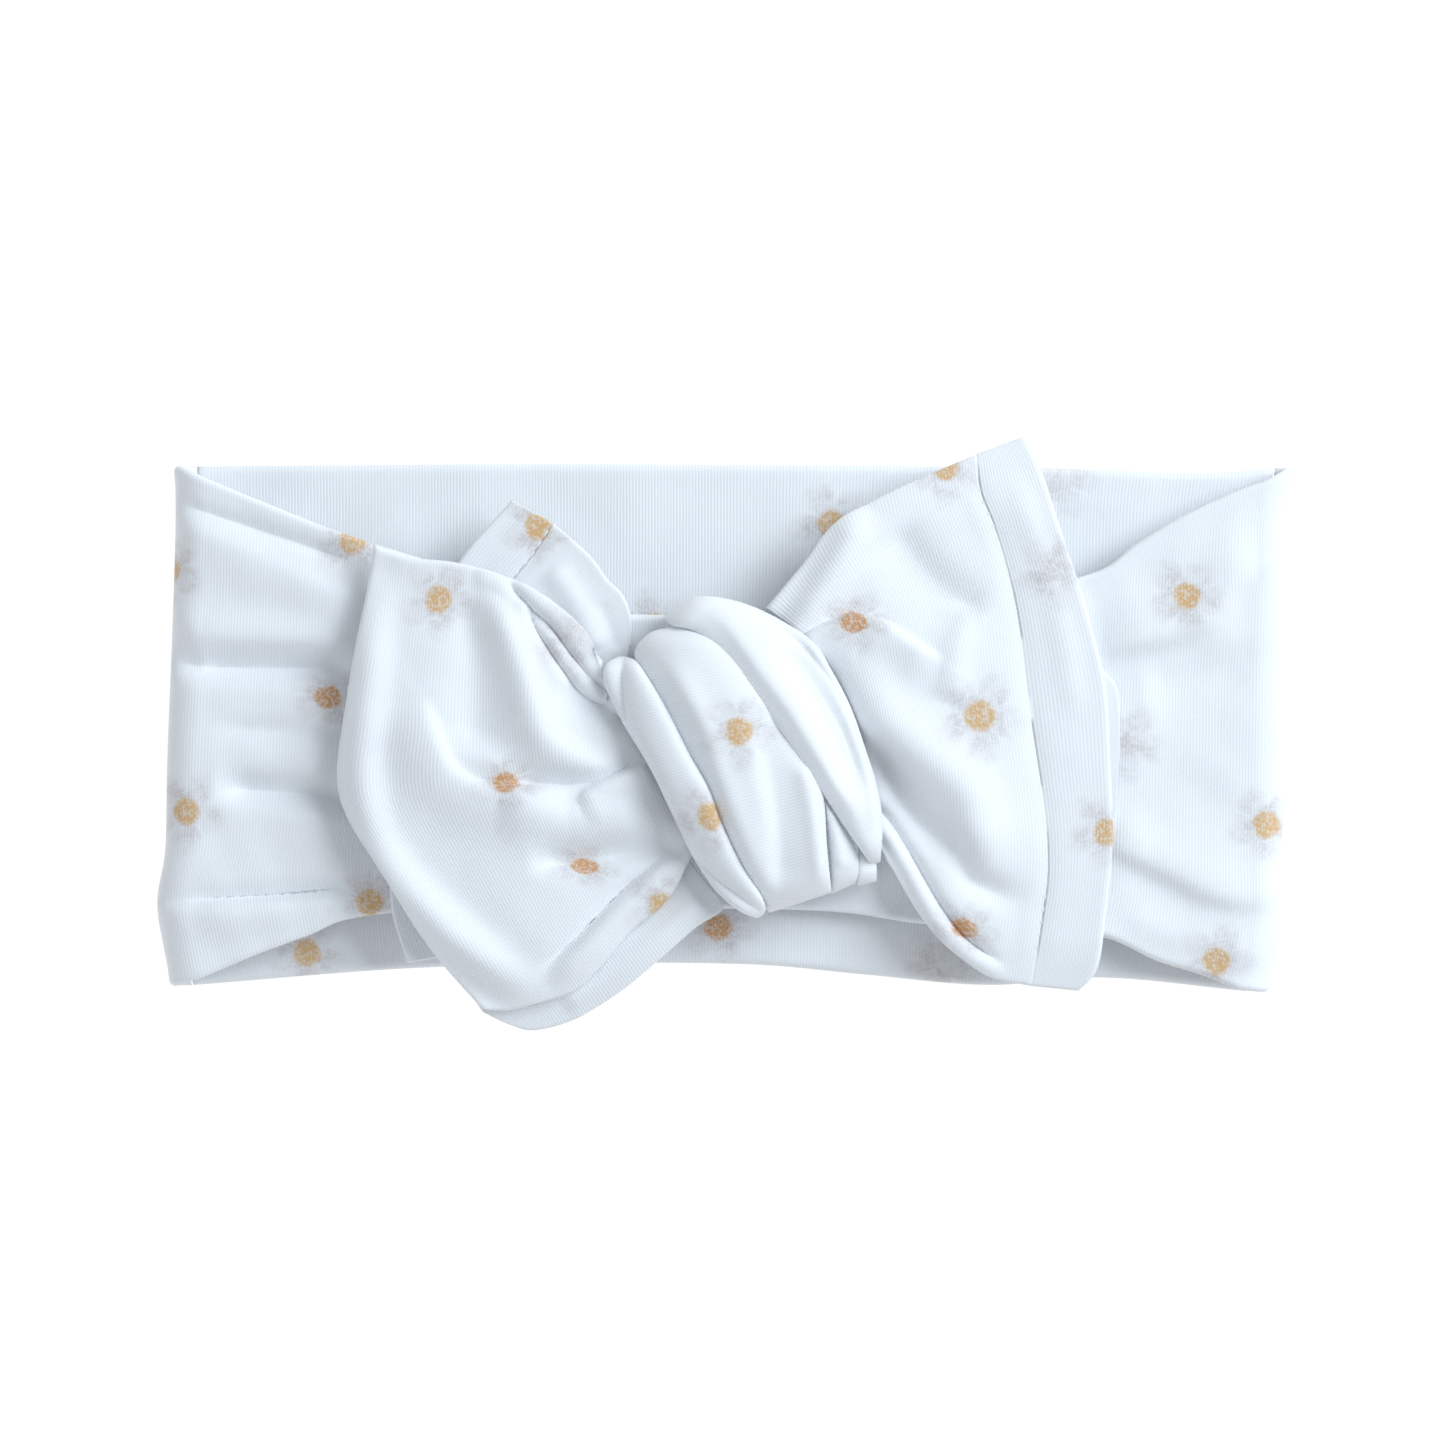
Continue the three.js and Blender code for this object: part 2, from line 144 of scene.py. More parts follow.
def reach(plan, path):
    """For each point, how far it is from a path, how far along the path, and which way is left.

    The first is positive on the path's left and the second runs from 0 to 1.
    """
    line = spline(path, np.linspace(0, 1, 6 * len(path)))
    run = arc_lengths(line) / arc_lengths(line)[-1]
    nearest = np.full(plan.shape[:-1], np.inf)
    off, along, left = np.zeros_like(nearest), np.zeros_like(nearest), np.zeros_like(plan)
    for k, (a, b) in enumerate(zip(line, line[1:])):
        ab = b - a
        t = np.clip(((plan - a) @ ab) / (ab @ ab), 0, 1)
        gap = plan - a - t[..., None] * ab
        away = np.hypot(gap[..., 0], gap[..., 1])
        closer = away < nearest
        side = np.where(ab[0] * gap[..., 1] - ab[1] * gap[..., 0] >= 0, 1, -1)
        nearest = np.where(closer, away, nearest)
        off = np.where(closer, side * away, off)
        along = np.where(closer, run[k] + t * (run[k + 1] - run[k]), along)
        normal = np.array([-ab[1], ab[0]]) / np.hypot(*ab)
        left = np.where(closer[..., None], normal, left)
    return off, along, left


def add_folds(grid, plan, folds):
    """Adds ridges and valleys to a grid.

    Each has a path, a height, and the widths of its left and right flanks. Two more numbers may follow:
    how far it leans left, and the share of its length over which its ends fade out.
    """
    grid = grid.copy()
    for path, height, left_width, right_width, *rest in folds:
        lean, taper = (*rest, *(0, 0.22)[len(rest) :])
        off, along, left = reach(plan, path)
        width = np.where(off > 0, left_width, right_width)
        ends = smooth(along / taper + 0.15) * smooth((1 - along) / taper + 0.15)
        rise = ends * np.exp(-((off / width) ** 2))
        grid[..., 2] += height * rise
        grid[..., :2] += lean * rise[..., None] * left
    return grid


def ripple(plan, size, seed):
    """The uneven lie of soft cloth: a few slow waves."""
    waves = np.random.default_rng(seed)
    total = np.zeros(plan.shape[:-1])
    for _ in range(9):
        length, turn, phase = waves.uniform(7, 26), waves.uniform(0, np.pi), waves.uniform(0, 6.28)
        along = plan @ np.array([np.cos(turn), np.sin(turn)])
        total += np.sin(6.283 * along / length + phase) * length / 26
    return size * total / 3


def hang(x, y):
    """How far a layer drops where it hangs over the band's edges and at the loop's left side."""
    over = np.maximum(np.abs(y) - BAND_EDGE_Y + HANG_TURN / 2, 0)
    aside = np.maximum(-x - LOOP_DROOP_X, 0)
    return HANG * over**2 / (over + HANG_TURN) + LOOP_DROOP * aside**2 / (aside + LOOP_DROOP_TURN)


def normals(grid):
    across = np.cross(np.gradient(grid, axis=0), np.gradient(grid, axis=1))
    return across / np.maximum(np.linalg.norm(across, axis=-1, keepdims=True), 1e-9)


# ---- Meshes ----


def mesh_object(name, vertices, quads, cloth):
    """A smooth mesh with cloth coordinates, in millimetres along and across the strip, as its UV map."""
    mesh = bpy.data.meshes.new(name)
    mesh.vertices.add(len(vertices))
    mesh.vertices.foreach_set("co", (vertices * MM).ravel())
    mesh.loops.add(quads.size)
    mesh.loops.foreach_set("vertex_index", quads.ravel())
    mesh.polygons.add(len(quads))
    mesh.polygons.foreach_set("loop_start", np.arange(0, quads.size, 4))
    mesh.update(calc_edges=True)
    mesh.polygons.foreach_set("use_smooth", np.ones(len(quads), bool))
    mesh.uv_layers.new(name="cloth").data.foreach_set("uv", cloth[quads.ravel()].ravel())
    mesh.validate()
    made = bpy.data.objects.new(name, mesh)
    bpy.context.scene.collection.objects.link(made)
    return made


def quads_of(ids):
    a, b, c, d = ids[:-1, :-1], ids[1:, :-1], ids[1:, 1:], ids[:-1, 1:]
    return np.stack([a, b, c, d], axis=-1).reshape(-1, 4)


def cloth_map(grid):
    """Millimetres along and across the strip. A whole cross line has the same ones, so the ribs follow it."""
    along = arc_lengths(grid).mean(axis=1)
    across = arc_lengths(np.swapaxes(grid, 0, 1)).mean(axis=1)
    return np.stack(np.meshgrid(along, across, indexing="ij"), axis=-1)


def shell(name, top, bottom):
    """A closed mesh between two grids whose borders are the same."""
    rows, columns = top.shape[:2]
    upper = np.arange(rows * columns).reshape(rows, columns)
    lower = upper.copy()
    inside = (rows - 2) * (columns - 2)
    lower[1:-1, 1:-1] = rows * columns + np.arange(inside).reshape(rows - 2, columns - 2)
    quads = np.concatenate([quads_of(upper), quads_of(lower)[:, ::-1]])
    if normals(top)[..., 2].mean() < 0:
        quads = quads[:, ::-1]
    vertices = np.concatenate([top.reshape(-1, 3), bottom[1:-1, 1:-1].reshape(-1, 3)])
    cloth = cloth_map(top)
    return mesh_object(
        name, vertices, quads, np.concatenate([cloth.reshape(-1, 2), cloth[1:-1, 1:-1].reshape(-1, 2)])
    )


def from_border(grid):
    """How far each point lies from the border along its own grid lines: (root, end, side a, side b)."""
    along, across = arc_lengths(grid), np.swapaxes(arc_lengths(np.swapaxes(grid, 0, 1)), 0, 1)
    return along, along[-1:] - along, across, across[:, -1:] - across


def rounded(away, radius):
    return np.sqrt(np.clip(1 - (1 - np.clip(away / radius, 0, 1)) ** 2, 0, 1))


def cloth_shell(name, grid, thick, rolled, radii):
    """A cloth layer round its middle surface. Its root, end, side a and side b are rounded with these radii.

    rolled says how much thicker the folded edges are, in the same order.
    """
    borders = from_border(grid)
    full = thick + sum(extra * np.exp(-((away / 2.2) ** 2)) for extra, away in zip(rolled, borders))
    half = full / 2
    for away, radius in zip(borders, radii):
        half = half * rounded(away, radius)
    up = normals(grid)
    up = up * np.sign(up[len(up) * 3 // 4, :, 2].mean())
    return shell(name, grid + half[..., None] * up, grid - half[..., None] * up)


def patch(side_a, side_b, root, end, radii, step=FINE):
    """The plan of a layer, from its four edges."""
    lengths = [arc_lengths(spline(e, np.linspace(0, 1, 60)))[-1] for e in (side_a, side_b, root, end)]
    u = fractions(max(lengths[:2]), step, radii[0], radii[1])
    v = fractions(max(lengths[2:]), step, radii[2], radii[3])
    return coons(side_a, side_b, root, end, u, v)


def layer(
    name,
    edges,
    height,
    folds,
    thick=LAYER_THICK,
    rolled=(0, 0, 0, 0),
    radii=(0.6, 0.6, 0.6, 0.6),
    seed=1,
    uneven=0.25,
    step=FINE,
    hangs=True,
):
    """A folded layer of cloth over the plan between four edges.

    height gives its middle surface's height from u and v, which run from 0 to 1 along and across it.
    """
    plan = patch(*edges, radii, step=step)
    flat = np.dstack([plan, np.zeros(plan.shape[:2])])
    u, v = [m / m.max() for m in np.moveaxis(cloth_map(flat), -1, 0)]
    z = height(u, v) + ripple(plan, uneven, seed) * smooth(8 * np.minimum(u, 1 - u))
    grid = add_folds(np.dstack([plan, z]), plan, folds)
    if hangs:
        grid[..., 2] -= hang(grid[..., 0], grid[..., 1])
    return cloth_shell(name, grid, thick, rolled, radii)


def crowned(base, crown, throat=0, throat_run=0.2):
    """Height of a layer that is puffed up in its middle and climbs by throat towards its root."""

    def height(u, v):
        puff = np.sin(np.pi * np.clip(u, 0, 1)) ** 0.8 * np.sin(np.pi * v) ** 0.8
        return base + crown * puff + throat * (1 - smooth(u / throat_run))

    return height


# ---- Materials ----


def nodes_of(tree):
    """Shorthands that add a node to a tree, with its inputs linked or set."""

    def node(kind, inputs=(), **settings):
        made = tree.nodes.new(kind)
        for key, value in settings.items():
            setattr(made, key, value)
        for key, value in dict(inputs).items():
            if hasattr(value, "is_output"):
                tree.links.new(value, made.inputs[key])
            else:
                made.inputs[key].default_value = value
        return made

    def calc(operation, a, b=0.0, c=0.0):
        return node("ShaderNodeMath", {0: a, 1: b, 2: c}, operation=operation).outputs[0]

    def ramp(value, low, high, at_low, at_high):
        inputs = {0: value, 1: low, 2: high, 3: at_low, 4: at_high}
        return node("ShaderNodeMapRange", inputs, interpolation_type="SMOOTHSTEP").outputs[0]

    return node, calc, ramp


def daisy_group():
    """One printed daisy: how much petal and how much centre there is at a place."""
    tree = bpy.data.node_groups.new("daisy", "ShaderNodeTree")
    for name, kind in (("Place", "Vector"), ("Middle", "Vector"), ("Turn", "Float"), ("Stretch", "Vector")):
        tree.interface.new_socket(name, in_out="INPUT", socket_type=f"NodeSocket{kind}")
    for name in ("Petal", "Centre"):
        tree.interface.new_socket(name, in_out="OUTPUT", socket_type="NodeSocketFloat")
    node, calc, ramp = nodes_of(tree)
    given = node("NodeGroupInput").outputs
    wobble = node("ShaderNodeTexNoise", {"Vector": given["Place"], "Scale": 420.0, "Detail": 2.0})
    shifted = node("ShaderNodeVectorMath", {0: given["Place"], 1: given["Middle"]}, operation="SUBTRACT")
    turned = node(
        "ShaderNodeVectorRotate",
        {"Vector": shifted.outputs[0], "Angle": given["Turn"]},
        rotation_type="Z_AXIS",
    )
    sized = node("ShaderNodeVectorMath", {0: turned.outputs[0], 1: given["Stretch"]}, operation="MULTIPLY")
    place = node("ShaderNodeSeparateXYZ", {0: sized.outputs[0]}).outputs
    squares = [calc("MULTIPLY", place[k], place[k]) for k in (0, 1)]
    away = calc("SQRT", calc("ADD", *squares))
    uneven = calc("ADD", away, calc("MULTIPLY_ADD", wobble.outputs[0], 0.36, -0.18))
    angle = calc("ARCTAN2", place[1], place[0])
    lobes = calc("POWER", calc("ABSOLUTE", calc("COSINE", calc("MULTIPLY", angle, 2.5))), 0.6)
    edge = calc("MULTIPLY_ADD", lobes, 0.46, 0.48)
    speck = node("ShaderNodeTexNoise", {"Vector": given["Place"], "Scale": 1900.0, "Detail": 3.0}).outputs[0]
    coverage = ramp(speck, 0.36, 0.58, 0.5, 1.0)
    blot = node("ShaderNodeTexNoise", {"Vector": given["Place"], "Scale": 330.0, "Detail": 2.0}).outputs[0]
    blot = ramp(blot, 0.35, 0.65, 0.45, 1.15)
    inside = ramp(calc("SUBTRACT", edge, uneven), -0.14, 0.3, 0.0, 1.0)
    round_ = calc("ADD", away, calc("MULTIPLY_ADD", wobble.outputs[0], 0.16, -0.08))
    heart = ramp(round_, 0.23, 0.37, 1.0, 0.0)
    halo = ramp(uneven, 0.3, 0.9, 1.3, 0.7)
    result = node("NodeGroupOutput").inputs
    petal = calc("MULTIPLY", inside, calc("MULTIPLY", coverage, blot))
    petal = calc("MULTIPLY", petal, halo)
    tree.links.new(petal, result["Petal"])
    tree.links.new(calc("MULTIPLY", heart, coverage), result["Centre"])
    return tree


DAISY_GROUP = daisy_group()
WHITE = (0.90, 0.93, 0.96, 1)
PETAL = (0.56, 0.50, 0.49, 1)
GOLD = (0.70, 0.44, 0.18, 1)
# The gold of a daisy centre as painted shade: darker and more orange, for daisies that lie in folds, pockets and
# shadows.
PAINTED_SHADE_GOLD = (0.62, 0.30, 0.09, 1)


def jersey(name, daisies=()):
    """Ribbed jersey, with daisies printed on it.

    Each daisy has its middle's x and y, its turn, its size along x and y against the full size, the colour
    of its centre or None, and how strong its petals are.
    """
    material = bpy.data.materials.new(name)
    material.use_nodes = True
    tree = material.node_tree
    tree.nodes.clear()
    node, calc, _ = nodes_of(tree)
    place = node("ShaderNodeTexCoord").outputs
    cloth = node("ShaderNodeSeparateXYZ", {0: place["UV"]}).outputs
    wave = calc("SINE", calc("MULTIPLY", cloth[0], 2 * math.pi / WALE))
    loops = calc("SINE", calc("MULTIPLY", cloth[1], 2 * math.pi / (WALE * 0.8)))
    rib = calc("MULTIPLY_ADD", calc("MULTIPLY", wave, loops), 0.3, calc("MULTIPLY", wave, 0.7))
    mottle = node("ShaderNodeTexNoise", {"Vector": place["Object"], "Scale": 160.0, "Detail": 3.0}).outputs[0]
    # The colour is a little darker in the grooves between the ribs, which is painted shade, and a slow mottle gives
    # the knit's own uneven tone.
    rib_shade_and_mottle = calc("MULTIPLY_ADD", rib, 0.034, calc("MULTIPLY_ADD", mottle, 0.03, 0.975))
    rib_shade_and_mottle_grey = node("ShaderNodeCombineColor", {0: rib_shade_and_mottle, 1: rib_shade_and_mottle, 2: rib_shade_and_mottle}).outputs[0]
    colour = node(
        "ShaderNodeMix",
        {0: 1.0, 6: WHITE, 7: rib_shade_and_mottle_grey},
        data_type="RGBA",
        blend_type="MULTIPLY",
    ).outputs[2]
    for x, y, turn, wide, high, heart, strength in daisies:
        half = DAISY * MM / 2
        print_ = node(
            "ShaderNodeGroup",
            {
                "Place": place["Object"],
                "Middle": (x * MM, y * MM, 0),
                "Turn": turn,
                "Stretch": (1 / (half * wide), 1 / (half * high), 0),
            },
            node_tree=DAISY_GROUP,
        ).outputs
        petals = calc("MULTIPLY", print_["Petal"], 0.42 * strength)
        colour = node("ShaderNodeMix", {0: petals, 6: colour, 7: PETAL}, data_type="RGBA").outputs[2]
        centre = calc("MULTIPLY", print_["Centre"], 0.9 if heart else 0.0)
        inputs = {0: centre, 6: colour, 7: heart or GOLD}
        colour = node("ShaderNodeMix", inputs, data_type="RGBA").outputs[2]
    bump = node("ShaderNodeBump", {"Strength": 0.3, "Distance": 0.00008, "Height": rib})
    shader = node("ShaderNodeBsdfPrincipled", {"Base Color": colour, "Normal": bump.outputs[0]})
    shader.inputs["Roughness"].default_value = 0.92
    shader.inputs["Specular IOR Level"].default_value = 0.2
    shader.inputs["Sheen Weight"].default_value = 0.25
    shader.inputs["Sheen Roughness"].default_value = 0.5
    node("ShaderNodeOutputMaterial", {"Surface": shader.outputs[0]})
    return material


def finish_thread(piece, body, cad_node):
    piece.data.materials.append(thread())
    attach(piece, body)
    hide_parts(cad_node)


def thread():
    material = bpy.data.materials.new("thread")
    material.use_nodes = True
    shader = material.node_tree.nodes["Principled BSDF"]
    shader.inputs["Base Color"].default_value = (0.86, 0.89, 0.92, 1)
    shader.inputs["Roughness"].default_value = 0.7
    return material


def finish_piece(piece, body, nodes, flat, area=None, daisies=(), material=None):
    """Gives a piece its finish and its body, and hides the CAD nodes it stands for.

    flat, in millimetres, and area, in square millimetres, are not used.
    """
    piece.data.materials.append(material or jersey(piece.name, daisies))
    if body:
        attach(piece, body)
    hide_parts(*nodes)
    flat = (flat[0] * MM, flat[1] * MM)
    area = area and area * MM * MM


# ---- Back panel: a flat tube, its upper edge folded and its lower edge sewn ----
BACK_END = 90.4
BACK_UPPER = [
    (-BACK_END, 45.1),
    (-40, 45.5),
    (0, 45.4),
    (50, 44.9),
    (76, 44.1),
    (84, 44.2),
    (BACK_END, 44.9),
]
BACK_LOWER = [
    (-BACK_END, -42.6),
    (-49.4, -39.6),
    (4.4, -39.1),
    (24, -40.8),
    (46, -42.6),
    (64, -41.3),
    (BACK_END, -43.6),
]
PLY_MID = (PLY / 2, BACK_TOP - PLY / 2)
ACROSS_BACK = 90  # points across each ply
ALONG_BACK = 150


def ring_loop(low, high):
    """The middle of the tube's wall round one cross-section, as (y, z)."""
    turn = (PLY_MID[1] - PLY_MID[0]) / 2
    inset = turn + PLY / 2
    middle = (PLY_MID[0] + PLY_MID[1]) / 2
    out = np.linspace(0, 1, ACROSS_BACK)
    angle = np.linspace(-np.pi / 2, np.pi / 2, 12)[1:-1]
    lower = np.stack([low + inset + (high - low - 2 * inset) * out, np.full(ACROSS_BACK, PLY_MID[0])], axis=1)
    upper = np.stack([lower[::-1, 0], np.full(ACROSS_BACK, PLY_MID[1])], axis=1)
    bend = np.stack([turn * np.cos(angle), turn * np.sin(angle)], axis=1)
    top = bend + (high - inset, middle)
    bottom = (bend * (-1, 1))[::-1] + (low + inset, middle)
    return np.concatenate([lower, top, upper, bottom])


def back_tube():
    stations = np.linspace(0, 1, ALONG_BACK)
    high, low = spline(BACK_UPPER, stations), spline(BACK_LOWER, stations)
    loops = [ring_loop(b[1], a[1]) for a, b in zip(high, low)]
    middle = np.array([np.column_stack([np.full(len(l), a[0]), l]) for l, a in zip(loops, high)])
    for side, panel in ((-1, FRONT_LEFT), (1, FRONT_RIGHT)):
        end = np.interp(middle[..., 1], *turn_line(panel))
        share = (np.abs(end) - FINE - SEAM_GAP) / BACK_END
        middle[..., 0] *= np.where(middle[..., 0] * side > 0, share, 1)
    upper_ply = middle[..., 2] > 1.5
    lift = ripple(middle[..., :2], 0.2, 4) * upper_ply
    middle[..., 2] += np.minimum(lift, 0.15)
    wrapped = np.concatenate([middle[:, -1:], middle, middle[:, :1]], axis=1)
    out = normals(wrapped)[:, 1:-1]
    out = out * np.sign((out[..., 2] * (middle[..., 2] - BACK_TOP / 2)).sum())
    count, around = middle.shape[:2]
    vertices = np.concatenate([(middle + s * PLY / 2 * out).reshape(-1, 3) for s in (1, -1)])
    ids = np.arange(count * around).reshape(count, around)
    ids = np.concatenate([ids, ids[:, :1]], axis=1)
    outer, inner = ids, ids + count * around
    quads = [quads_of(outer), quads_of(inner)[:, ::-1]]
    for k, flip in ((0, 1), (-1, -1)):
        quads.append(quads_of(np.stack([inner[k], outer[k]]))[:, ::flip])
    quads = np.concatenate(quads)
    a, b, c, _ = vertices[quads[0]]
    if np.cross(b - a, c - a)[2] > 0:
        quads = quads[:, ::-1]
    run = arc_lengths(np.swapaxes(middle, 0, 1))[:, 0]
    cloth = np.stack(np.meshgrid(middle[:, 0, 0], run, indexing="ij"), axis=-1).reshape(-1, 2)
    return mesh_object("back_cloth", vertices, quads, np.concatenate([cloth, cloth]))


def seam_allowance():
    sewn = [(x * 0.98, y + 2) for x, y in BACK_LOWER]
    cut = [(x, y + 5) for x, y in sewn]
    edges = (cut, sewn, [cut[0], sewn[0]], [cut[-1], sewn[-1]])
    return layer(
        "seam_allowance_cloth",
        edges,
        crowned(BACK_TOP / 2, 0),
        [],
        thick=0.5,
        uneven=0,
        step=COARSE,
        hangs=False,
    )


# ---- Front panels, each with the side fold it comes from ----
TURN_REACH = 4.6  # how far the side fold bulges out in plan
TURN_START = math.radians(-60)  # where it leaves the back panel, below the level of its middle
LOWER_LEG_MID = 1.05
GATHER_X = 66  # nearer the middle than this, the panels are gathered
GATHER_RUN = 20
SLACK = 3.6  # how far their lower edge sags under the knot
SLACK_X = 48
SLACK_Y = -15
SLACK_RUN = 14
OPEN_RUN = 10  # folds pressed flat by the bow open out over this width


def side_turn(root, side, leg_y):
    """The cloth's middle surface from the back panel, round the side fold, to the front panel's root."""
    angles = np.linspace(TURN_START, np.pi / 2, 26)[:-1]
    middle, half = (LOWER_LEG_MID + FRONT_MID) / 2, (FRONT_MID - LOWER_LEG_MID) / 2
    rows = []
    for angle in angles:
        part = 1 - np.cos(max(angle, 0))
        out = root[:, 0] + side * TURN_REACH * np.cos(angle)
        y = leg_y * (1 - part) + root[:, 1] * part
        rows.append(np.column_stack([out, y, np.full(len(root), middle + half * np.sin(angle))]))
    return np.array(rows)


def fold_root(panel):
    """Where the side fold ends and the front panel begins."""
    inner = [(x - panel["side"] * (TURN_REACH + PANEL_THICK / 2), y) for x, y in panel["outline"]]
    return [panel["top"][0], *inner[1:-1], panel["bottom"][0]]


def turn_line(panel):
    """Where the side fold leaves the back panel: the y and x of its points, upwards."""
    root = spline(fold_root(panel), np.linspace(0, 1, 200))
    first, last = panel["corners"]
    y = first + (last - first) * arc_lengths(root) / arc_lengths(root)[-1]
    return y[::-1], root[::-1, 0] + panel["side"] * TURN_REACH * math.cos(TURN_START)


def front_panel(name, panel):
    """A front panel with its side fold.

    Its outline is the side fold's outermost line. Its top and bottom run from there to its end, which is
    under the knot.
    """
    top, bottom, end, side, corners = (panel[key] for key in ("top", "bottom", "end", "side", "corners"))
    inner = fold_root(panel)
    plan = patch(top, bottom, inner, end, (FINE, 0.9, 1.1, 1.1))[5:]
    x, y = plan[..., 0], plan[..., 1]
    z = FRONT_MID + (GATHERED_MID - FRONT_MID) * smooth((GATHER_X - abs(x)) / GATHER_RUN)
    z = z - SLACK * smooth((SLACK_Y - y) / SLACK_RUN) * smooth((SLACK_X - abs(x)) / SLACK_RUN)
    free = smooth((abs(x) - panel["opens"]) / OPEN_RUN)
    near_fold = 0.6 + 0.4 * smooth((FOLD_X + 2 - abs(x)) / 6)
    uneven = ripple(plan, 0.3, panel["seed"])
    lie = add_folds(np.dstack([plan, uneven]), plan, panel["folds"])
    lie[..., 2] = z + lie[..., 2] * (0.06 + 0.94 * free) * near_fold
    share = arc_lengths(plan[0]) / arc_lengths(plan[0])[-1]
    leg = corners[0] + (corners[1] - corners[0]) * share
    turn = side_turn(plan[0], side, leg)
    turn[..., 2] += smooth(np.linspace(-0.6, 1, len(turn)))[:, None] * (lie[0, :, 2] - FRONT_MID)
    grid = np.concatenate([turn, lie])
    return cloth_shell(name, grid, PANEL_THICK, (0, 0, 0.5, 0.5), (0.9, 0.9, 1.1, 1.1))


FRONT_LEFT = dict(
    outline=[
        (-92.7, 45),
        (-93, 33),
        (-93.4, 20),
        (-94.4, -5),
        (-94.8, -20),
        (-96.1, -28),
        (-95, -35),
        (-93.9, -42.6),
    ],
    top=[(-87.6, 43.1), (-78, 39.1), (-64.5, 33.8), (-40, 26), (-UNDER_KNOT_X - SEAM_GAP, 20)],
    bottom=[
        (-88.2, -41.3),
        (-78, -37),
        (-69.6, -33.9),
        (-63.7, -31.4),
        (-42, -29.4),
        (-UNDER_KNOT_X - SEAM_GAP, -30),
    ],
    end=[(-UNDER_KNOT_X - SEAM_GAP, 20), (-UNDER_KNOT_X - SEAM_GAP, -30)],
    side=-1,
    corners=(45.1, -42.6),
    folds=[
        ([(-98, 41), (-89, 37.6), (-74.6, 33), (-60, 28)], -1.5, 1.6, 2),
        ([(-100, 38), (-84, 31.6), (-70, 25), (-56, 20)], 1.4, 2.6, 5),
        ([(-102, 17.4), (-84, 16.8), (-62, 16)], 0.9, 3, 1.6),
        ([(-104, 11.8), (-88, 11.2), (-76, 11), (-58, 10.6)], -3.3, 2.5, 2.3),
        ([(-86, 1), (-72, 0.4), (-56, 1)], -0.8, 2, 2),
        ([(-86, -9), (-74, -10), (-54, -11.6)], -3.2, 3, 2.2),
        ([(-106, -28.2), (-88, -28), (-76, -27.4), (-62, -26)], -1.5, 2, 1.2, 0, 0.1),
        ([(-106, -30.4), (-84, -30), (-62, -28.2)], 1.2, 1.2, 4),
    ],
    opens=57,
    seed=11,
)
FRONT_RIGHT = dict(
    outline=[
        (96.1, 44.2),
        (95.9, 36),
        (95.5, 22),
        (95, 0),
        (94.6, -20),
        (94.1, -34),
        (92, -43.8),
    ],
    top=[
        (91.4, 42.6),
        (86, 40.6),
        (76.6, 36.2),
        (69, 31.6),
        (63.2, 27.4),
        (42, 23),
        (UNDER_KNOT_X, 20),
        (-UNDER_KNOT_X, 20),
    ],
    bottom=[
        (86.6, -43.3),
        (81.3, -41),
        (72.9, -38.3),
        (63.7, -34.3),
        (42, -32.6),
        (32.8, -32.1),
        (19.8, -30.2),
        (-2.5, -29.6),
        (-UNDER_KNOT_X, -30),
    ],
    end=[(-UNDER_KNOT_X, 20), (-UNDER_KNOT_X, -30)],
    side=1,
    corners=(44.8, -43.6),
    folds=[
        ([(58, 12.5), (69.6, 16.3), (79.6, 19), (86.2, 26.4), (94, 31)], 1.8, 7, 2.6),
        ([(60, -16), (74.6, -22.3), (82.8, -26.4), (94, -28)], 1.6, 5, 2.4),
        ([(70, 8), (82, 10), (92, 14)], -0.9, 4, 5),
        ([(66, -31), (80, -35), (90, -38)], 0.6, 3, 3),
    ],
    opens=61,
    seed=12,
)

# ---- Left loop ----
LOOP_TOP = [
    (-19.6, 8.6),
    (-20.8, 10.6),
    (-21.6, 13.4),
    (-23.4, 17.1),
    (-26.9, 20.5),
    (-33.6, 25),
    (-39.1, 27),
    (-45, 28.6),
    (-53.3, 29.6),
    (-58.6, 31.7),
]
LOOP_EDGE = [
    (-58.6, 31.7),
    (-60, 22),
    (-61.5, 13.4),
    (-63.2, 3),
    (-64.5, -7.6),
    (-63.2, -12.8),
    (-58.1, -21.3),
    (-54.6, -26.9),
    (-50.4, -33.8),
    (-46, -39.8),
    (-40.5, -46.2),
]
LOOP_BOTTOM = [
    (-5, -19.9),
    (-6.6, -22.8),
    (-7.9, -25.5),
    (-10.6, -29.1),
    (-15.3, -32.8),
    (-20.3, -38.5),
    (-25, -43),
    (-32.4, -45.4),
    (-36.6, -46.4),
    (-40.5, -46.2),
]
LOOP_ROOT = [LOOP_TOP[0], (-16.7, 2.4), (-12, -5.2), (-8.1, -13.2), LOOP_BOTTOM[0]]
LOOP_EDGES = (LOOP_TOP, LOOP_BOTTOM, LOOP_ROOT, LOOP_EDGE)
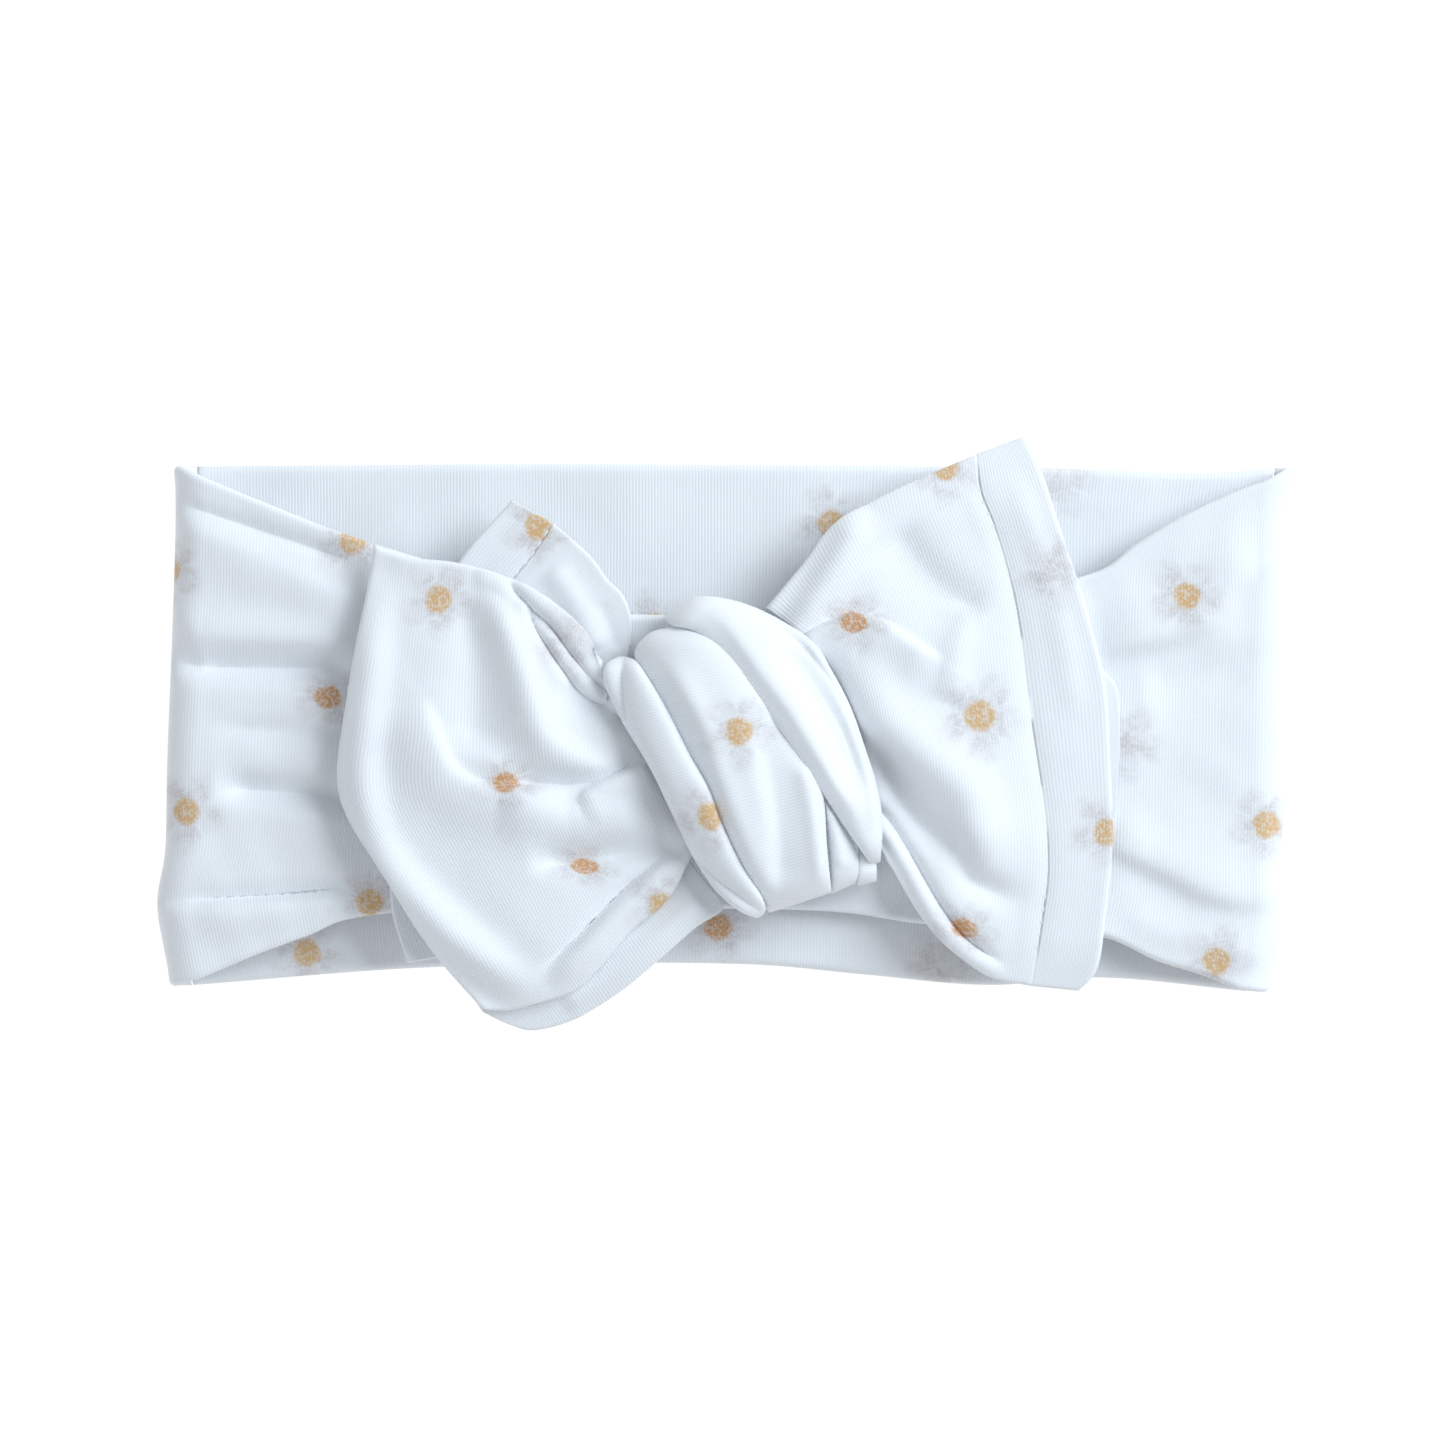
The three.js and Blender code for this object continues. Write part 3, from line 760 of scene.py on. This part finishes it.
LOOP_FOLDS = [
    (
        [
            (-57.6, 27),
            (-59.4, 11.6),
            (-60.6, 1.3),
            (-60.9, -7.2),
            (-59.6, -14.4),
            (-55.4, -23),
            (-49.4, -30),
            (-42.4, -36.4),
            (-34.5, -41.4),
            (-29, -44),
        ],
        3.1,
        3.2,
        3,
    ),
    ([(-44, 24), (-41.5, 16), (-41, 4), (-43, -4)], -2, 6, 5),
    (
        [
            (-41.5, 24.6), (-37.4, 19), (-34.4, 11.3), (-32, 4.5),
            (-29.6, -0.9), (-24.4, -4.6), (-14, -6.8),
        ],
        2.6, 2.4, 3.8,
    ),
    (
        [
            (-51.6, 6), (-48.8, -2.6), (-46, -7.4),
            (-39.4, -11), (-34.4, -11.2), (-26, -11),
        ],
        2.2, 1.6, 6, 0.7,
    ),
    ([(-36, -8), (-28, -8.6), (-20, -7.4), (-13, -4.5)], -1.8, 2.4, 1.4),
    ([(-24.4, -12.2), (-19.5, -9.4), (-15.3, -7.6), (-11, -6)], 1.4, 1.2, 3.5, 0.6),
    ([(-28, 9), (-24, 5.4), (-19, 3.4), (-14, 1)], -1.5, 1.2, 3.2),
    ([(-38, -13), (-28, -14), (-13, -13.8)], 1.5, 3, 4),
    ([(-33, -21.6), (-21.7, -20.6), (-14, -19.6), (-6, -18)], -2, 3, 2),
    ([(-31, -40), (-25.5, -35), (-19.6, -29), (-13, -23), (-6, -19)], -1.2, 1.4, 0.9),
    ([(-29.6, -42), (-23, -36), (-17, -29.4), (-11, -24.2), (-7, -20.4)], 1.3, 1.3, 2.4),
    (
        [
            (-37, 26.2), (-32.8, 21.6), (-28.9, 17.6),
            (-25.9, 13.4), (-22.9, 9.6), (-19, 6.4),
        ],
        -1.7, 0.8, 0.9, 0, 0.12,
    ),
    ([(-33.6, 21.4), (-30.2, 15.4), (-26.4, 9.8), (-23, 6.2), (-18, 4)], -1.6, 0.9, 0.8, 0, 0.12),
    ([(-42, 26.6), (-34, 23.4), (-27, 18.6), (-22.6, 13)], 0.7, 1.4, 1.6, 0, 0.12),
    ([(-34.6, 22.2), (-29.9, 16.8), (-26, 11.8), (-20, 6.2)], 0.7, 1, 1, 0, 0.12),
]
LOOP_UNDER_EDGES = (
    [(-17.5, 2), (-38, 10), (-57, 18)],
    [
        (-1, -27.6),
        (-0.2, -29.4),
        (-4.5, -32.4),
        (-10.9, -38),
        (-16.5, -42.7),
        (-21.7, -46.2),
        (-25.9, -48.4),
        (-32.4, -49.9),
        (-36.6, -48.7),
        (-40.5, -46.8),
    ],
    [(-17.5, 2), (-10, -15), (-1, -27.6)],
    [(-57, 18), (-62.3, -8), (-51, -31), (-40.5, -46.8)],
)
LOOP_UNDER_FOLDS = [
    ([(-3.4, -28), (-10, -33.6), (-18, -40.2), (-27, -46)], 0.9, 1.5, 2, 0, 0.1),
]

# ---- Left tail end ----
LEFT_HEM_LINE = [
    (-28.8, 35.3), (-32.2, 30), (-35.4, 26), (-38.8, 20),
    (-46, -6), (-48, -28), (-45, -37.2),
]
LEFT_HEM_EDGE = [(-35.6, 39.2), (-44.7, 28.4), (-47, 22), (-54, -5), (-56, -28), (-53.2, -38.6)]
LEFT_TAIL_EDGES = (
    [
        (-18.8, 9.6), (-16, 14.1), (-15.6, 19.6), (-17.1, 23.4),
        (-19.5, 25.8), (-21.9, 29.2), (-25.6, 32.7), (-28.7, 35.3),
    ],
    [(-9, -22), (-27, -33), (-44.6, -37.2)],
    [(-18.8, 9.6), (-15, -6), (-9, -22)],
    [(x + 0.05, y + 0.02) for x, y in LEFT_HEM_LINE],
)
LEFT_TAIL_FOLDS = [
    ([(-18, 14), (-19.4, 18), (-21, 22)], -0.3, 1.4, 1.4, 0, 0.15),
    ([(-21, 14), (-24.4, 21), (-29, 28)], 0.9, 2.4, 2, 0, 0.15),
    ([(x + 0.1, y) for x, y in LEFT_HEM_LINE], -0.35, 1.2, 1.2, 0, 0.05),
]

# ---- Right tail ----
RIGHT_HEM_LINE = [
    (42.2, 46.8),
    (43, 40.2),
    (45.2, 34.6),
    (48.7, 21.8),
    (51.1, 3.7),
    (53.9, -16),
    (54.1, -24.5),
    (53.4, -30.1),
    (51.4, -42.4),
]
RIGHT_HEM_EDGE = [
    (50.6, 49.9),
    (53.3, 44),
    (55.8, 36.3),
    (60.5, 21.8),
    (64, 8.1),
    (64.8, -4.5),
    (65.2, -18.5),
    (64, -30.9),
    (62.4, -40),
    (59.6, -43.2),
]
PLEAT_SIDE = [
    (26.1, -14.3),
    (26.4, -19.4),
    (29, -24),
    (32.8, -30.4),
    (36.2, -34.6),
    (40.3, -38),
    (44.7, -40.9),
    (51.3, -42.4),
]
RIGHT_UPPER_EDGES = (
    [
        (6.8, 20.8), (10.4, 25), (13.8, 29.1), (16.8, 33.3),
        (19.8, 36), (24.2, 38.5), (30.1, 41.5), (42.1, 46.8),
    ],
    PLEAT_SIDE,
    [
        (6.8, 20.8), (10.4, 18.4), (14.8, 14.9), (17.9, 10.3),
        (21.1, 4.1), (23.5, -2.8), (25.2, -8.5), (26.1, -14.3),
    ],
    [(x + 0.12, y) for x, y in RIGHT_HEM_LINE],
)
RIGHT_FOLDS = [
    ([(9, 12.4), (13.4, 18.6), (16.9, 25), (20.2, 31), (23.2, 38)], 2, 2.6, 3),
    (
        [
            (12, 11.5), (15.1, 15.3), (19, 17), (22.3, 18),
            (25.9, 17), (31.8, 13.3), (36.5, 11.4),
        ],
        2.3, 1.2, 4.2, 0.9,
    ),
    (
        [
            (20, 17), (23.8, 8), (26.8, 2.6), (31.2, -1.4),
            (36.6, -6), (40.6, -10), (42.2, -15), (43, -25),
        ],
        2.8, 4.6, 4.2,
    ),
    ([(40.4, 22), (38.6, 12.3), (38, 5)], 1.2, 2.2, 3.2),
    ([(27, 35), (33.6, 26.4), (38.6, 22), (43, 18.4)], -2.2, 4, 5.6),
    (
        [
            (24.5, 0), (25.9, -5.2), (28.4, -9.4), (32.8, -15),
            (39.1, -20.2), (42, -25), (51, -28.5),
        ],
        -2.1, 2.8, 2.6,
    ),
    (RIGHT_HEM_LINE, -0.3, 1.4, 1.4, 0, 0.1),
    (
        [
            (24, -11), (27, -14.1), (30.6, -19.3), (33.6, -24.5),
            (37, -30.1), (40.3, -34.3), (46, -38.4),
        ],
        -1.6, 1, 0.8, 0, 0.12,
    ),
    (
        [
            (24, -13.2), (27.4, -17), (30.8, -22.6), (33.8, -28.2),
            (37, -33), (41, -37), (47, -40.4),
        ],
        0.9, 1, 1, 0, 0.12,
    ),
]
HEM_FOLDS = [
    (RIGHT_HEM_LINE, -0.3, 1.4, 1.4, 0, 0.1),
    ([(48, 44), (51.6, 34), (56, 20), (59, 2)], 0.5, 2, 2.4, 0, 0.2),
]
RIGHT_UNDER_EDGES = (
    [
        (26, 18), (34, 30), (52, 38), (60, 24), (63.5, 11.1),
        (65.7, 8.4), (66.5, 2), (66.2, -7.4), (65.4, -14.4),
    ],
    [(28, 10), (30, -2), (35, -16), (43, -27), (52, -33.5), (58, -34), (62, -26)],
    [(26, 18), (28, 10)],
    [(65.4, -14.4), (62, -26)],
)

# ---- Knot ----
KNOT = dict(x=5, y=-4, slant=-0.36, half_width=20, half_length=28.5, low=14.5, rise=10)


def knot_height(x, y):
    across = (x - KNOT["x"] - KNOT["slant"] * (y - KNOT["y"])) / KNOT["half_width"]
    along = (y - KNOT["y"]) / KNOT["half_length"]
    return KNOT["low"] + KNOT["rise"] * np.sqrt(np.maximum(1 - across**2 - along**2, 0.04))


def strand(name, left, right, folds, crown, sunk, ends=(5, 5), dive=5, seed=1, power=2.3):
    """A rolled strand of the knot between its left and right edges, going down at both ends.

    sunk is how far below the knot's round top its left and right edges lie.
    """
    u = fractions(60, 0.9, 1.2, 1.2)
    s = (1 - np.cos(np.linspace(0, np.pi, 44))) / 2
    a, b = spline(left, u)[:, None], spline(right, u)[:, None]
    plan = a * (1 - s[:, None]) + b * s[:, None]
    x, y = plan[..., 0], plan[..., 1]
    run = arc_lengths(plan.mean(axis=1))
    closing = (rounded(run, ends[0]) * rounded(run[-1] - run, ends[1]))[:, None]
    arch = (1 - np.abs(2 * s - 1) ** power) ** (1 / power)
    base = knot_height(x, y) - sunk[0] * (1 - s) - sunk[1] * s - dive * (1 - closing)
    ridges = add_folds(np.dstack([plan, ripple(plan, 0.12, seed)]), plan, folds)[..., 2]
    top = base + crown * arch * closing + ridges * smooth(3 * arch) * closing
    bottom = base - 0.7 * arch * closing
    return shell(name, np.dstack([plan, top]), np.dstack([plan, bottom]))


K1_LEFT = [
    (-17.8, 12.8), (-19.8, 11.6), (-20.2, 9.4), (-17.3, 2.4),
    (-12.6, -5.4), (-8.7, -13.4), (-5.6, -20),
]
K1_LEFT += [(-1.2, -26.5), (3, -30), (5.4, -31)]
K1_RIGHT = [
    (-17, 13), (-14.8, 12.2), (-12.6, 9.2), (-9.6, 4.2),
    (-5.7, -3.5), (-2.5, -9.2), (-0.3, -15), (2.9, -21.7),
]
K1_RIGHT += [(6.4, -27.4), (7, -29.8), (6, -30.9)]
K2_LEFT = [(-8.4, 18), (-12.4, 16.8), (-14.8, 14.2), (-14.8, 12), (-13, 8.8), (-10.3, 4), (-6.4, -3.8)]
K2_LEFT += [(-3.2, -9.5), (-1, -15.3), (2.2, -22), (6, -28), (7.6, -30.2)]
K2_RIGHT = [(-7.6, 18.2), (-4.4, 17.4), (1.2, 13.4), (5.8, 7.2), (11.4, -0.6), (15.2, -6.4), (16.4, -9)]
K2_RIGHT += [(16.8, -12), (17.2, -18.8), (18, -26.7)]
K3_LEFT = [
    (-8.6, 21.2), (-10, 19.6), (-9, 18.2), (-5, 17),
    (0.5, 12.8), (5, 6.6), (10.6, -1.2), (14.4, -6.9),
]
K3_LEFT += [(19.3, -14.3), (24.8, -22.4)]
K3_RIGHT = [
    (-7.8, 21.8), (-4.4, 22.9), (2.9, 21.9), (10.6, 18.3), (15.1, 15.1),
    (18.1, 10.4), (21.3, 4.2), (23.7, -2.7), (25.5, -8.4),
]
K3_RIGHT += [(26.5, -14.3), (26.2, -21.6)]


def knot_pieces():
    left_roll = strand("knot_left_roll_cloth", K1_LEFT, K1_RIGHT, [], 2.8, (-0.6, 1.1), (3, 4), 3, seed=21, power=3)
    centre = strand(
        "knot_centre_wrap_cloth",
        K2_LEFT,
        K2_RIGHT,
        [
            (
                [
                    (-10, 13.6), (-7.2, 8), (-3.6, 1.4), (-1, -6.8),
                    (1.4, -13.4), (3.8, -20), (7, -29),
                ],
                1.3, 2.6, 2,
            ),
            ([(5.8, 5), (7.4, -4), (8.8, -11), (9.6, -18), (9.8, -28)], -2, 5, 2),
            ([(13, -5), (14.6, -12), (15.6, -18.8), (16.4, -26)], 0.8, 1.4, 1.6, 0, 0.1),
        ],
        3.2,
        (2.6, 2.2),
        (4, 6),
        3.5,
        seed=22,
    )
    right = strand(
        "knot_right_wrap_cloth",
        K3_LEFT,
        K3_RIGHT,
        [
            (
                [
                    (-3.7, 21), (0.2, 18.6), (4, 13.4), (7.6, 8.4),
                    (11, 4), (16.3, -4.4), (20.2, -10.3), (24, -17),
                ],
                0.8, 2.4, 1.5,
            ),
            ([(9, 15.6), (13.4, 9.6), (17.4, 2.6), (20.4, -3.6), (22.8, -11)], -3, 2.6, 2.2),
            (
                [
                    (13.4, 16.2), (17.6, 9.6), (20.6, 3),
                    (23, -4), (24.8, -10), (25.2, -16),
                ],
                0.7, 1.1, 1.1, 0, 0.12,
            ),
        ],
        2.2,
        (1.9, 0.4),
        (4, 4),
        seed=23,
    )
    inner_tuck = strand(
        "knot_tuck_inner_cloth",
        [(15.6, -9.2), (16.5, -12), (17, -18.8), (17.9, -27)],
        [(16, -9.6), (19, -14.2), (21.6, -18.2), (22.5, -20.6), (22.6, -25)],
        [([(17.6, -12), (18.8, -17.6), (19.6, -23)], 0.6, 1.3, 1.3)],
        2,
        (4.6, 4.2),
        (3, 4),
        3,
        seed=24,
    )
    outer_tuck = strand(
        "knot_tuck_outer_cloth",
        [(22.4, -18.4), (22.5, -21), (22.4, -25.6)],
        [(24.4, -19.4), (25.5, -21.8), (25.7, -25)],
        [],
        1.2,
        (4.4, 4.8),
        (2.4, 2.4),
        2.5,
        seed=25,
    )
    return left_roll, centre, right, inner_tuck, outer_tuck


CORE_RADII = (11, 17.5, 3.5)
CORE_MID = 14.9
CORE_RINGS = 25
CORE_SIDES = 48


def knot_core():
    """The gathered cloth that the strands are wrapped round."""
    turn = np.linspace(0, 2 * np.pi, CORE_SIDES + 1)[:-1]
    rise = np.linspace(-np.pi / 2, np.pi / 2, CORE_RINGS)
    lean = -KNOT["slant"]
    points = []
    for a in rise:
        for b in turn:
            pleat = 1 + 0.03 * np.sin(9 * b)
            x = CORE_RADII[0] * pleat * np.cos(a) * np.cos(b)
            y = CORE_RADII[1] * np.cos(a) * np.sin(b)
            z = CORE_RADII[2] * np.sin(a)
            points.append(
                (
                    KNOT["x"] + x * np.cos(lean) - y * np.sin(lean),
                    KNOT["y"] + x * np.sin(lean) + y * np.cos(lean),
                    CORE_MID + z,
                )
            )
    ids = np.arange(len(points)).reshape(CORE_RINGS, CORE_SIDES)
    ids = np.concatenate([ids, ids[:, :1]], axis=1)
    quads = quads_of(ids)[:, ::-1]
    return mesh_object("knot_core_cloth", np.array(points), quads, np.zeros((len(points), 2)))


# ---- Hem stitches ----
STITCH_PITCH = 2.1
STITCH_LENGTH = 1.6
STITCH_RADIUS = 0.17
STITCH_RINGS = 7
STITCH_SIDES = 8
STITCH_DIP = 0.2  # how far each end sinks into the cloth


def stitches(name, line, height, hangs):
    """A row of separate stitches along a line, at this height, or hanging with the cloth."""
    length = arc_lengths(spline(line, np.linspace(0, 1, 200)))[-1]
    centres = np.arange(STITCH_PITCH, length - STITCH_PITCH, STITCH_PITCH) / length
    vertices, quads = [], []
    ends = np.linspace(-1, 1, STITCH_RINGS)
    turn = np.linspace(0, 2 * np.pi, STITCH_SIDES + 1)[:-1]
    for c in centres:
        a, b = spline(line, [c - 0.002, c + 0.002])
        along = np.array([*(b - a), 0]) / np.hypot(*(b - a))
        across = np.array([-along[1], along[0], 0])
        middle = np.array([*((a + b) / 2), height - (hang(0, (a + b)[1] / 2) if hangs else 0)])
        start = len(vertices)
        for e in ends:
            round_off = STITCH_RADIUS * max(1 - e**4, 0.02) ** 0.5
            for t in turn:
                offset = across * np.cos(t) + np.array([0, 0, 1]) * np.sin(t)
                dip = np.array([0, 0, -STITCH_DIP * e * e])
                vertices.append(middle + along * e * STITCH_LENGTH / 2 + offset * round_off + dip)
        ids = start + np.arange(STITCH_RINGS * STITCH_SIDES).reshape(STITCH_RINGS, STITCH_SIDES)
        quads.append(quads_of(np.concatenate([ids, ids[:, :1]], axis=1)))
        for ring in (ids[0], ids[-1][::-1]):
            quads.append(ring[[[0, 3, 2, 1], [0, 5, 4, 3], [0, 7, 6, 5]]])
    quads = np.concatenate(quads)
    vertices = np.array(vertices)
    return mesh_object(name, vertices, quads, np.zeros((len(vertices), 2)))


# ---- The pieces ----
# The second is the daisy centres' gold in painted shade, for daisies that lie in folds and shadows.
G, SHADE_G = GOLD, PAINTED_SHADE_GOLD


def blend_piece(piece):
    """Bakes a front panel's placement into its mesh."""
    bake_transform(piece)


back = back_tube()
finish_piece(
    back,
    "back",
    ["back_panel_outer", "back_panel_inner"],
    (176, 176),
    daisies=[
        (-70.4, -37.1, 0.3, 1, 1, G, 1),
        (-1, -32.8, 0, 1, 1, SHADE_G, 1),
        (18.1, 35.4, 0.5, 1, 1, G, 1),
        (56.4, 42.5, 1.1, 1, 1, None, 0.7),
        (36.3, -39, 0.2, 1, 1, None, 1),
        (-40, 5, 0.2, 1, 1, G, 1),
        (30, 8, 0.9, 1, 1, G, 1),
        (62, -12, 0.4, 1, 1, G, 1),
        (-12, 18, 0.7, 1, 1, G, 1),
        (-66, 12, 0.1, 1, 1, G, 1),
    ],
)
allowance = seam_allowance()
finish_piece(allowance, "back", ["back_seam_allowance"], (10, 174), area=870)

left_panel = front_panel("front_left_cloth", FRONT_LEFT)
finish_piece(
    left_panel,
    None,
    ["front_left_panel", "left_side_fold"],
    (88, 88),
    area=6800,
    daisies=[
        (-62.3, 32.3, 0.2, 1, 1, G, 1),
        (-93.9, 27.4, 0.4, 1, 1, G, 1),
        (-66.5, 6, 0.1, 1, 0.8, SHADE_G, 1),
        (-90.4, -13.1, 0.3, 1, 1, G, 1),
        (-59.5, -28.4, 0.5, 1, 1, G, 1),
    ],
)
blend_piece(left_panel)

right_panel = front_panel("front_right_cloth", FRONT_RIGHT)
finish_piece(
    right_panel,
    None,
    ["front_right_panel", "right_side_fold", "band_under_knot"],
    (88, 124),
    area=8600,
    daisies=[
        (77.8, 23, 0.2, 1, 1, G, 1),
        (91.2, -15.3, 0.4, 1, 1, G, 1),
        (82.7, -38.3, 0.1, 1, 1, G, 1),
        (67.4, -1.2, 0.3, 1, 1, None, 1),
    ],
)
blend_piece(right_panel)

roll, centre, wrap, inner_tuck, outer_tuck = knot_pieces()
core = knot_core()
core.data.materials.append(jersey("knot_core_cloth"))
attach(core, "knot")
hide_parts("knot_core")
roll_daisy = (-2.2, -13.8, 0.3, 1, 1, G, 1)
finish_piece(roll, "knot", ["knot_left_roll"], (14, 46), daisies=[roll_daisy])
centre_daisy = (2.5, 0.3, 0.2, 1, 1, G, 1)
finish_piece(centre, "knot", ["knot_centre_wrap"], (24, 48), daisies=[centre_daisy])
finish_piece(wrap, "knot", ["knot_right_wrap"], (20, 50))
finish_piece(inner_tuck, "knot", ["knot_tuck_inner"], (12, 18), area=100)
finish_piece(outer_tuck, "knot", ["knot_tuck_outer"], (10, 10), area=32)

loop = layer(
    "left_loop_cloth",
    LOOP_EDGES,
    crowned(LOOP_MID, 2.2, 0.3, 0.16),
    LOOP_FOLDS,
    rolled=(0, 0.9, 0.8, 0.6),
    radii=(0.6, 1, 1, 0.9),
    seed=31,
)
finish_piece(
    loop,
    "left_loop",
    ["left_loop_upper", "left_loop_roll", "left_loop_fold_band"],
    (88, 50),
    area=3500,
    daisies=[
        (-47.7, 22.3, 0.2, 1, 1, G, 1),
        (-36.5, -8.2, 0.1, 1, 0.75, SHADE_G, 1),
        (-23.4, -22.3, 0.1, 1, 0.55, SHADE_G, 1),
        (-10.2, -28.9, 0.1, 1, 1, G, 1),
        (-25, 15.6, 0.2, 1, 1, None, 1),
    ],
)
loop_under = layer(
    "left_loop_under_cloth",
    LOOP_UNDER_EDGES,
    crowned(LOOP_UNDER_MID, 0, -0.3, 0.35),
    LOOP_UNDER_FOLDS,
    thick=PLY,
    rolled=(0, 0, 0, 0.3),
    seed=34,
    uneven=0.02,
)
finish_piece(loop_under, "left_loop", ["left_loop_under"], (60, 60), area=2700)

tail = layer(
    "left_tail_cloth",
    LEFT_TAIL_EDGES,
    crowned(TAIL_MID, 0),
    LEFT_TAIL_FOLDS,
    thick=0.9,
    rolled=(0, 0, 0.3, 0),
    radii=(0.5, 0.05, 0.6, 0.5),
    seed=35,
    uneven=0.05,
    hangs=False,
)
tail_daisy = (-31.2, 34.8, 0.2, 1, 1, G, 1)
finish_piece(tail, "left_tail", ["left_tail_panel"], (60, 32), area=1500, daisies=[tail_daisy])
left_hem_edges = (
    [LEFT_HEM_LINE[0], (-31.6, 36.9), LEFT_HEM_EDGE[0]],
    [LEFT_HEM_LINE[-1], LEFT_HEM_EDGE[-1]],
    LEFT_HEM_LINE,
    LEFT_HEM_EDGE,
)
left_hem = layer(
    "left_tail_hem_cloth",
    left_hem_edges,
    crowned(TAIL_MID, 0),
    [],
    thick=1,
    rolled=(0, 0.2, 0, 0),
    radii=(0.05, 0.6, 0.4, 0.4),
    seed=36,
    uneven=0.03,
    hangs=False,
)
finish_piece(left_hem, "left_tail", ["left_tail_hem"], (10, 78), area=600, daisies=[tail_daisy])
left_thread = stitches("left_hem_stitches", LEFT_HEM_LINE, TAIL_MID + 0.42, False)
finish_thread(left_thread, "left_tail", "left_hem_stitching")

right = layer(
    "right_tail_cloth",
    RIGHT_UPPER_EDGES,
    crowned(RIGHT_MID, 2.6, 0.3),
    RIGHT_FOLDS,
    rolled=(0, 0, 0.6, 0.3),
    radii=(0.6, 0.05, 0.9, 0.7),
    seed=41,
)
finish_piece(
    right,
    "right_tail",
    ["right_tail_upper", "right_tail_lower_fold"],
    (88, 40),
    area=2700,
    daisies=[
        (21.7, 18.6, 0.1, 1, 0.8, SHADE_G, 1),
        (37.1, 44.7, 0.3, 1, 1, G, 1),
        (42.8, 2.9, 0.2, 1.15, 1.15, G, 1),
        (40.2, -32.6, 0.3, 1, 0.7, SHADE_G, 1),
        (55.6, 27.2, 0.1, 1, 1, None, 1),
    ],
)
hem_edges = (
    [RIGHT_HEM_LINE[0], RIGHT_HEM_EDGE[0]],
    [RIGHT_HEM_LINE[-1], RIGHT_HEM_EDGE[-1]],
    RIGHT_HEM_LINE,
    RIGHT_HEM_EDGE,
)
hem = layer(
    "right_tail_hem_cloth",
    hem_edges,
    crowned(RIGHT_MID, 0.3),
    HEM_FOLDS,
    thick=1.2,
    rolled=(0, 0.5, 0, 0),
    radii=(0.05, 0.9, 0.6, 0.6),
    seed=43,
    uneven=0.1,
)
finish_piece(
    hem,
    "right_tail",
    ["right_tail_hem"],
    (12, 95),
    daisies=[(55.6, 27.2, 0.1, 1, 1, None, 1), (64.2, -16.6, 0.4, 1, 1, G, 1)],
)
under = layer(
    "right_tail_under_cloth",
    RIGHT_UNDER_EDGES,
    crowned(RIGHT_UNDER_MID, 0),
    [],
    thick=PLY,
    seed=44,
    uneven=0.02,
    hangs=False,
)
finish_piece(under, "right_tail", ["right_tail_under"], (36, 75), area=2300)
right_thread = stitches("right_hem_stitches", RIGHT_HEM_LINE, RIGHT_MID + 0.26, True)
finish_thread(right_thread, "right_tail", "right_hem_stitching")

# ---- Stage ----


def area_light(name, place, size, energy, colour):
    light = bpy.data.lights.new(name, "AREA")
    light.size = size
    light.energy = energy
    light.color = colour
    lamp = bpy.data.objects.new(name, light)
    lamp.location = place
    towards = -lamp.location
    lamp.rotation_euler = towards.to_track_quat("-Z", "Y").to_euler()
    bpy.context.scene.collection.objects.link(lamp)
    return lamp


def floor():
    half = 3.0
    mesh = bpy.data.meshes.new("floor")
    corners = [(-half, -half, 0), (half, -half, 0), (half, half, 0), (-half, half, 0)]
    mesh.from_pydata(corners, [], [(0, 1, 2, 3)])
    made = bpy.data.objects.new("floor", mesh)
    made.location.z = -0.0003
    bpy.context.scene.collection.objects.link(made)
    material = bpy.data.materials.new("floor")
    material.use_nodes = True
    tree = material.node_tree
    tree.nodes.clear()
    node, *_ = nodes_of(tree)
    glow = node("ShaderNodeEmission", {"Color": (1, 1, 1, 1), "Strength": 0.95})
    matt = node("ShaderNodeBsdfDiffuse", {"Color": (0.12, 0.12, 0.12, 1)})
    both = node("ShaderNodeAddShader", {0: glow.outputs[0], 1: matt.outputs[0]})
    node("ShaderNodeOutputMaterial", {"Surface": both.outputs[0]})
    mesh.materials.append(material)


def camera():
    lens = bpy.data.cameras.new("camera")
    lens.lens = 200
    lens.sensor_width = 36
    lens.clip_end = 20
    made = bpy.data.objects.new("camera", lens)
    distance = VIEW_WIDTH * MM * lens.lens / lens.sensor_width
    made.location = (VIEW_CENTRE[0] * MM, VIEW_CENTRE[1] * MM, distance + 0.01)
    bpy.context.scene.collection.objects.link(made)
    bpy.context.scene.camera = made


def world():
    sky = bpy.data.worlds.new("sky")
    sky.use_nodes = True
    background = sky.node_tree.nodes["Background"]
    background.inputs["Color"].default_value = (0.94, 0.97, 1, 1)
    background.inputs["Strength"].default_value = 0.41
    bpy.context.scene.world = sky


world()
floor()
camera()
area_light("key", (0.78, 0.5, 0.78), 0.8, 12.7, (0.84, 0.92, 1))
area_light("fill", (-0.8, -0.75, 0.55), 1.3, 3.1, (0.84, 0.92, 1))
bpy.context.scene.view_settings.view_transform = "Standard"
